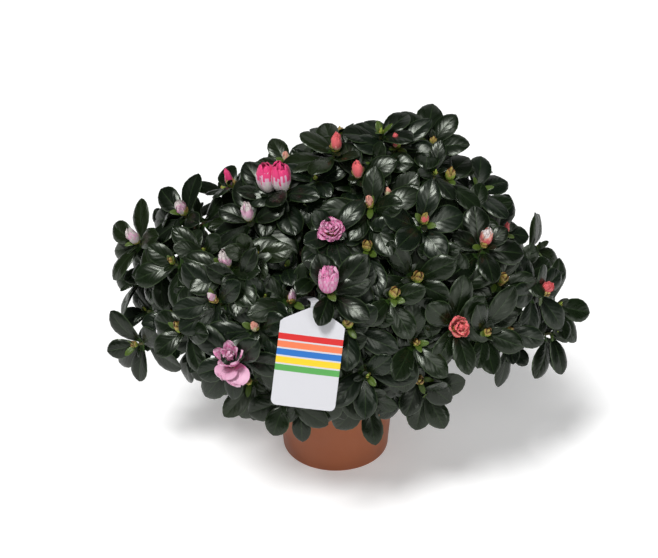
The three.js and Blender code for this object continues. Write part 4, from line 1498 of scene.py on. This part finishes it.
def grow_foliage(materials):
    """The leaves, which keep clear of the wood, the flowers and each other. Main shoots come first."""
    for mass in MASSES:
        for k, shoot in enumerate(mass["shoots"]):
            CROWD.add(shoot["curve"].line(14)[1:-3], ("twig", mass["name"], k))
        CROWD.add(mass["curve"].line(30), ("bough", mass["name"]))
        CROWD.add(mass["stem"].line(10), ("stem", mass["name"]))
    batches = {mass["name"]: Batch() for mass in MASSES}
    for kind in SHOOTS:
        for mass in MASSES:
            for k, shoot in enumerate(mass["shoots"]):
                if shoot["kind"] != kind:
                    continue
                tone = int(draws_for("leaf_tone", shoot["seed"], 5 * k)() * len(LEAF_TONES))
                grow_rosette(batches[mass["name"]], shoot, mass, (mass["name"], k), tone)
    for name, batch in batches.items():
        finish_piece(batch.make(name.replace("crown", "leaves"), materials), "foliage", name)


# --- pot and growing medium


def arc(centre, radius, start, end, count):
    """Points of an arc in (radius, height), angles in degrees."""
    angles = np.radians(np.linspace(start, end, count))
    return [(centre[0] + radius * math.cos(a), centre[1] + radius * math.sin(a)) for a in angles]


def pot_material():
    material = plain_material("pot_plastic", (0.29, 0.1, 0.042), 0.5, Specular_IOR_Level=0.4)
    place = coordinates(material)
    add_mottle(material, place, 14, [
        (0.32, (0.30, 0.080, 0.026)),
        (0.5, (0.335, 0.093, 0.031)),
        (0.7, (0.36, 0.104, 0.037)),
    ], 6)
    add_bump(material, place, 900, 0.12, 0.0003, 3)
    add_roughness(material, place, 60, 0.44, 0.6)
    return material


HUB = 0.01  # radius at which a turned profile starts
POT_SIDES = 144
HOLE_SIDES = 32


def make_pot():
    """The pot, from its underside up the outside, over the rolled rim and down the inside."""
    rim_foot = POT["height"] - POT["rim_height"]
    wall = POT["wall"]
    slope = (POT["body"] - POT["foot"]) / (rim_foot - POT["heel"])

    def wall_line(radius, heights):
        return [(radius + slope * (h - POT["heel"]), h) for h in heights]

    profile = [(HUB, 0.0), (20, 0.0), (POT["foot"] - POT["heel"], 0.0)]
    profile += arc((POT["foot"] - POT["heel"], POT["heel"]), POT["heel"], -70, -5, 6)
    profile += wall_line(POT["foot"], np.linspace(8, rim_foot - 2, 12))
    profile += arc((POT["body"] + 0.5, rim_foot - 0.6), 0.5, 180, 100, 4)
    profile += arc((POT["rim"] - 0.9, rim_foot + 0.8), 0.7, -90, -5, 4)
    profile += [(POT["rim"] - 0.2, POT["height"] - 3)]
    profile += arc((POT["rim"] - 1.2, POT["height"] - 1.2), 1.2, 0, 180, 9)
    profile += [(POT["rim"] - 2.5, rim_foot + 2), (POT["body"] - wall, rim_foot - 1.5)]
    profile += wall_line(POT["foot"] - wall, np.linspace(rim_foot - 8, 8, 8))
    profile += [(POT["foot"] - wall - 2, wall), (20, wall), (HUB, wall)]
    batch = Batch()
    batch.add(*lathe(profile, POT_SIDES, capped=True))
    pot = batch.make("pot_shell", [pot_material()], sharp=40)
    cutters = Batch()
    for i in range(DRAIN["holes"]):
        bearing = 2 * math.pi * i / DRAIN["holes"]
        centre = (DRAIN["circle"] * math.cos(bearing), DRAIN["circle"] * math.sin(bearing), -3)
        hole = [(DRAIN["radius"], 0), (DRAIN["radius"], 9)]
        cutters.add(*lathe(hole, HOLE_SIDES, centre, capped=True))
    cutter = cutters.make("drain_cutter", [])
    cut = pot.modifiers.new("drain", "BOOLEAN")
    cut.operation = "DIFFERENCE"
    cut.object = cutter
    cut.solver = "EXACT"
    evaluated = pot.evaluated_get(bpy.context.evaluated_depsgraph_get())
    mesh = bpy.data.meshes.new_from_object(evaluated)
    pot.modifiers.clear()
    pot.data = mesh
    bpy.data.objects.remove(cutter)
    finish_piece(pot, "pot", "pot")


def soil_materials():
    peat = plain_material("peat", (0.035, 0.02, 0.012), 0.95)
    place = coordinates(peat)
    add_mottle(peat, place, 220, [
        (0.35, (0.016, 0.009, 0.006)),
        (0.55, (0.04, 0.023, 0.013)),
        (0.72, (0.09, 0.055, 0.03)),
    ])
    add_bump(peat, place, 500, 0.9, 0.0015)
    chip = plain_material("bark_chip", (0.07, 0.035, 0.018), 0.85)
    add_mottle(chip, coordinates(chip), 160, [
        (0.35, (0.03, 0.015, 0.008)),
        (0.6, (0.085, 0.045, 0.022)),
        (0.75, (0.15, 0.09, 0.05)),
    ])
    add_bump(chip, coordinates(chip), 700, 0.7, 0.0008)
    return [peat, chip]


CHIPS = 420
SOIL_SINK = {"from": 46, "over": 14, "depth": 4}  # how it sinks towards the pot's wall


def make_soil():
    """The growing medium: a crumbly top that sinks towards the pot's wall, with bark chips on it."""
    batch = Batch()
    draw = draws_for("soil")
    sides, rings = 90, 20
    floor = POT["wall"] + CLEARANCE
    rim_foot = POT["height"] - POT["rim_height"]
    inner = POT["foot"] - POT["wall"] - CLEARANCE - 0.4
    edge = POT["body"] - POT["wall"] - CLEARANCE - 1.2

    def top_height(radius):
        outer = np.clip((radius - SOIL_SINK["from"]) / SOIL_SINK["over"], 0, 1)
        return SOIL_TOP - SOIL_SINK["depth"] * outer**2 - 0.5

    profile = [(HUB, floor), (inner, floor), (edge, rim_foot - 4)]
    profile += [(edge * (1 - (k / rings) ** 1.1) + HUB, 0) for k in range(1, rings + 1)]
    points, faces = lathe(profile, sides, capped=True)
    for i in range(3, len(profile)):
        radius = profile[i][0]
        for j in range(sides):
            crumb = math.sin(0.9 * i + 5 * math.sin(0.37 * j * i)) + draw.between(-1.2, 0.9)
            points[i * sides + j, 2] = top_height(radius) + crumb * 0.7 * min(1, radius / 12)
    batch.add(points, faces)
    for _ in range(CHIPS):
        radius = edge * math.sqrt(draw()) * 0.97
        bearing = 2 * math.pi * draw()
        level = float(top_height(radius)) + 0.4
        add_chip(batch, np.array([radius * math.cos(bearing), radius * math.sin(bearing), level]), draw)
    finish_piece(batch.make("growing_medium", soil_materials(), sharp=40), "soil", "soil")


def add_chip(batch, centre, draw):
    """A rough splinter of bark that lies flat."""
    length, width, height = draw.between(2.5, 6.5), draw.between(1.6, 3.4), draw.between(0.5, 1.3)
    turn = 2 * math.pi * draw()
    along = np.array([math.cos(turn), math.sin(turn), draw.between(-0.3, 0.3)])
    across = np.array([-math.sin(turn), math.cos(turn), draw.between(-0.3, 0.3)])
    ring = []
    for k in range(6):
        angle = k * math.pi / 3
        ring.append(along * math.cos(angle) * length / 2 * draw.between(0.75, 1.1)
                    + across * math.sin(angle) * width / 2 * draw.between(0.75, 1.1))
    top = [centre + p + Z * height * draw.between(0.7, 1.2) for p in ring]
    bottom = [centre + p * 0.9 - Z * height for p in ring]
    faces = [(0, 1, 2, 3, 4, 5), (11, 10, 9, 8, 7, 6)]
    faces += [(k, 6 + k, 6 + (k + 1) % 6, (k + 1) % 6) for k in range(6)]
    batch.add(np.array(top + bottom), faces, 1)


# --- plant label

BAND_COLOURS = [
    ("label_green", (0.10, 0.36, 0.09)),
    ("label_yellow", (0.86, 0.58, 0.03)),
    ("label_blue", (0.03, 0.16, 0.50)),
    ("label_coral", (0.80, 0.20, 0.09)),
    ("label_red", (0.62, 0.03, 0.03)),
]
BANDS = {"first": 31.0, "height": 5.6, "gap": 1.4}
BAND_STARTS = [BANDS["first"] + k * (BANDS["height"] + BANDS["gap"]) for k in range(len(BAND_COLOURS))]
LABEL_WHITE = ("label_white", (0.61, 0.61, 0.64))
STRAP_ROWS = 40
STRAP_COLUMNS = 5


def label_materials():
    made = []
    for name, colour in [LABEL_WHITE] + BAND_COLOURS:
        material = plain_material(name, colour, 0.32, Specular_IOR_Level=0.5)
        add_bump(material, coordinates(material), 300, 0.08, 0.0003, 2)
        made.append(material)
    return made


def label_half_width(height):
    """Half the plate's width at a height: round lower corners, and a taper to the strap."""
    half, corner, chamfer = LABEL["width"] / 2, LABEL["corner"], LABEL["chamfer"]
    neck = LABEL["strap_width"] / 2
    if height < corner:
        return half - corner + math.sqrt(max(0.0, corner**2 - (corner - height) ** 2))
    heights = [LABEL["height"] - chamfer, LABEL["height"], LABEL["height"] + LABEL["shoulder"]]
    return float(np.interp(height, heights, [half, half - chamfer, neck]))


def label_bend(x, z):
    """How far the thin plate bows towards its back, in millimetres."""
    share = np.clip(z / LABEL["height"], 0, 1)
    return 1.4 * (x / 30) ** 2 + 1.1 * np.sin(math.pi * share) - 1.0 - 0.5 * share


def make_label():
    """The plate with its bands, the strap, and the ring round the bough."""
    batch = Batch()
    axes, bottom = label_turn()
    corner_rows = [LABEL["corner"] * (1 - math.cos(a)) for a in np.linspace(0, math.pi / 2, 7)]
    band_rows = [row for start in BAND_STARTS for row in (start, start + BANDS["height"])]
    top = LABEL["height"] + LABEL["shoulder"]
    rows = corner_rows + list(np.linspace(10, BANDS["first"] - 6, 4)) + band_rows
    rows += [LABEL["height"] - LABEL["chamfer"], LABEL["height"]]
    rows += list(np.linspace(LABEL["height"] + 3, top, 4))
    rows = np.array(sorted(rows))
    columns = np.linspace(-1, 1, 15)
    x = np.array([[label_half_width(z) * u for u in columns] for z in rows])
    z = np.broadcast_to(rows[:, None], x.shape)
    local = np.stack([x, label_bend(x, z), z], axis=-1)
    grid = bottom + local @ axes.T
    front = []
    for low, high in zip(rows, rows[1:]):
        slot = 0
        for k, start in enumerate(BAND_STARTS):
            if start - 0.01 <= low and high <= start + BANDS["height"] + 0.01:
                slot = k + 1
        front += [slot] * (len(columns) - 1)
    add_shell(batch, grid[:, ::-1], axes[:, 1], LABEL["thickness"], front, [0] * len(front))
    route, inward, ring = label_route()
    line = smooth_route(route, STRAP_ROWS)
    level = np.array([-inward[1], inward[0], 0])
    strap = []
    for i in range(len(line)):
        tangent = unit(line[min(i + 1, len(line) - 1)] - line[max(i - 1, 0)])
        across = unit(level - tangent * (level @ tangent))
        strap.append([line[i] + across * w for w in np.linspace(-4, 4, STRAP_COLUMNS)])
    normal = np.cross(unit(line[1] - line[0]), level)
    white = [0] * (STRAP_ROWS - 1) * (STRAP_COLUMNS - 1)
    add_shell(batch, np.array(strap), -unit(normal), LABEL["thickness"], white, white)
    half = LABEL["ring_length"] / 2
    inner, outer = ring["inner"], ring["outer"]
    profile = [(inner, -half), (outer, -half), (outer, half), (inner, half), (inner, -half)]
    side = unit(np.cross(ring["way"], Z))
    turn = np.stack([side, np.cross(ring["way"], side), ring["way"]], axis=1)
    points, faces = lathe(profile, 36)
    batch.add(points @ turn.T + ring["centre"], faces)
    finish_piece(batch.make("plant_label", label_materials(), sharp=30), "label", "label")


# --- bark

def bark_materials():
    old = plain_material("bark_old", (0.12, 0.07, 0.04), 0.85)
    place = coordinates(old, stretch=(1, 1, 0.35))
    add_mottle(old, place, 260, [
        (0.3, (0.045, 0.026, 0.016)),
        (0.52, (0.12, 0.072, 0.042)),
        (0.72, (0.22, 0.15, 0.095)),
    ])
    add_bump(old, place, 420, 0.8, 0.0012)
    green = plain_material("bark_green", (0.10, 0.10, 0.03), 0.6)
    add_mottle(green, coordinates(green), 260, [
        (0.35, (0.07, 0.055, 0.022)),
        (0.6, (0.10, 0.115, 0.032)),
    ])
    add_bump(green, coordinates(green), 600, 0.4, 0.0006)
    return [old, green]


# --- the plant

for _mass in MASSES:
    grow_main_shoots(_mass)
grow_side_shoots()

make_pot()
make_soil()
make_label()
BARK = bark_materials()
make_trunk(BARK)
make_boughs(BARK)
make_twigs(BARK)
make_buds_and_flowers(bloom_materials())
grow_foliage(leaf_materials())


# --- camera, light and floor

TARGET = np.array([-7.3, 0.0, 201.4])
CAMERA = {"distance": 1170.0, "elevation": 28.0, "focal_px": 1143.0, "frame_px": 658}


# Sun lights: name, the way to them, how wide they look in degrees, and strength.
SUNS = [
    ("key", (-0.35, -0.5, 1.0), 18, 2.8),
    ("rear", (0.3, 0.9, 0.9), 50, 0.4),
]
# Area lights that shine on the crown: name, place and size in metres, and power.
LAMPS = [
    ("front", (0.5, -1.6, 1.5), 0.9, 8),
    ("low", (1.0, -1.3, 0.3), 0.5, 2),
]
CROWN_MIDDLE = (0, 0, 0.2)
FLOOR_RADIUS = 25000


def make_camera():
    data = bpy.data.cameras.new("camera")
    data.sensor_width = 36.0
    data.lens = CAMERA["focal_px"] / CAMERA["frame_px"] * data.sensor_width
    data.clip_end = 60
    camera = add_object("camera", data)
    elevation = math.radians(CAMERA["elevation"])
    back = np.array([0, -math.cos(elevation), math.sin(elevation)]) * CAMERA["distance"]
    camera.location = (TARGET + back) * MM
    camera.rotation_euler = (math.pi / 2 - elevation, 0, 0)
    bpy.context.scene.camera = camera


def aim(light, way):
    light.rotation_euler = way.to_track_quat("Z", "Y").to_euler()


def make_lights():
    for name, towards, angle, strength in SUNS:
        data = bpy.data.lights.new(name, "SUN")
        data.angle = math.radians(angle)
        data.energy = strength
        aim(add_object(name, data), Vector(towards))
    for name, place, size, power in LAMPS:
        data = bpy.data.lights.new(name, "AREA")
        data.shape = "DISK"
        data.size = size
        data.energy = power
        light = add_object(name, data)
        light.location = place
        aim(light, Vector(place) - Vector(CROWN_MIDDLE))


def make_studio():
    batch = Batch()
    points, faces = lathe([(1, 0), (FLOOR_RADIUS, 0)], 64)
    faces.append(tuple(range(64))[::-1])
    batch.add(points, [face[::-1] for face in faces])
    material = plain_material(
        "floor_white", (0.86, 0.86, 0.86), 0.8, Emission_Strength=0.3, Emission_Color=(1, 1, 1, 1)
    )
    add_bump(material, coordinates(material), 40, 0.03, 0.001)
    floor = batch.make("floor", [material])
    make_lights()
    world = bpy.data.worlds.new("studio")
    world.use_nodes = True
    background = world.node_tree.nodes["Background"]
    background.inputs["Color"].default_value = (1, 1, 1, 1)
    background.inputs["Strength"].default_value = 0.06
    bpy.context.scene.world = world
    bpy.context.scene.view_settings.view_transform = "Standard"


make_camera()
make_studio()
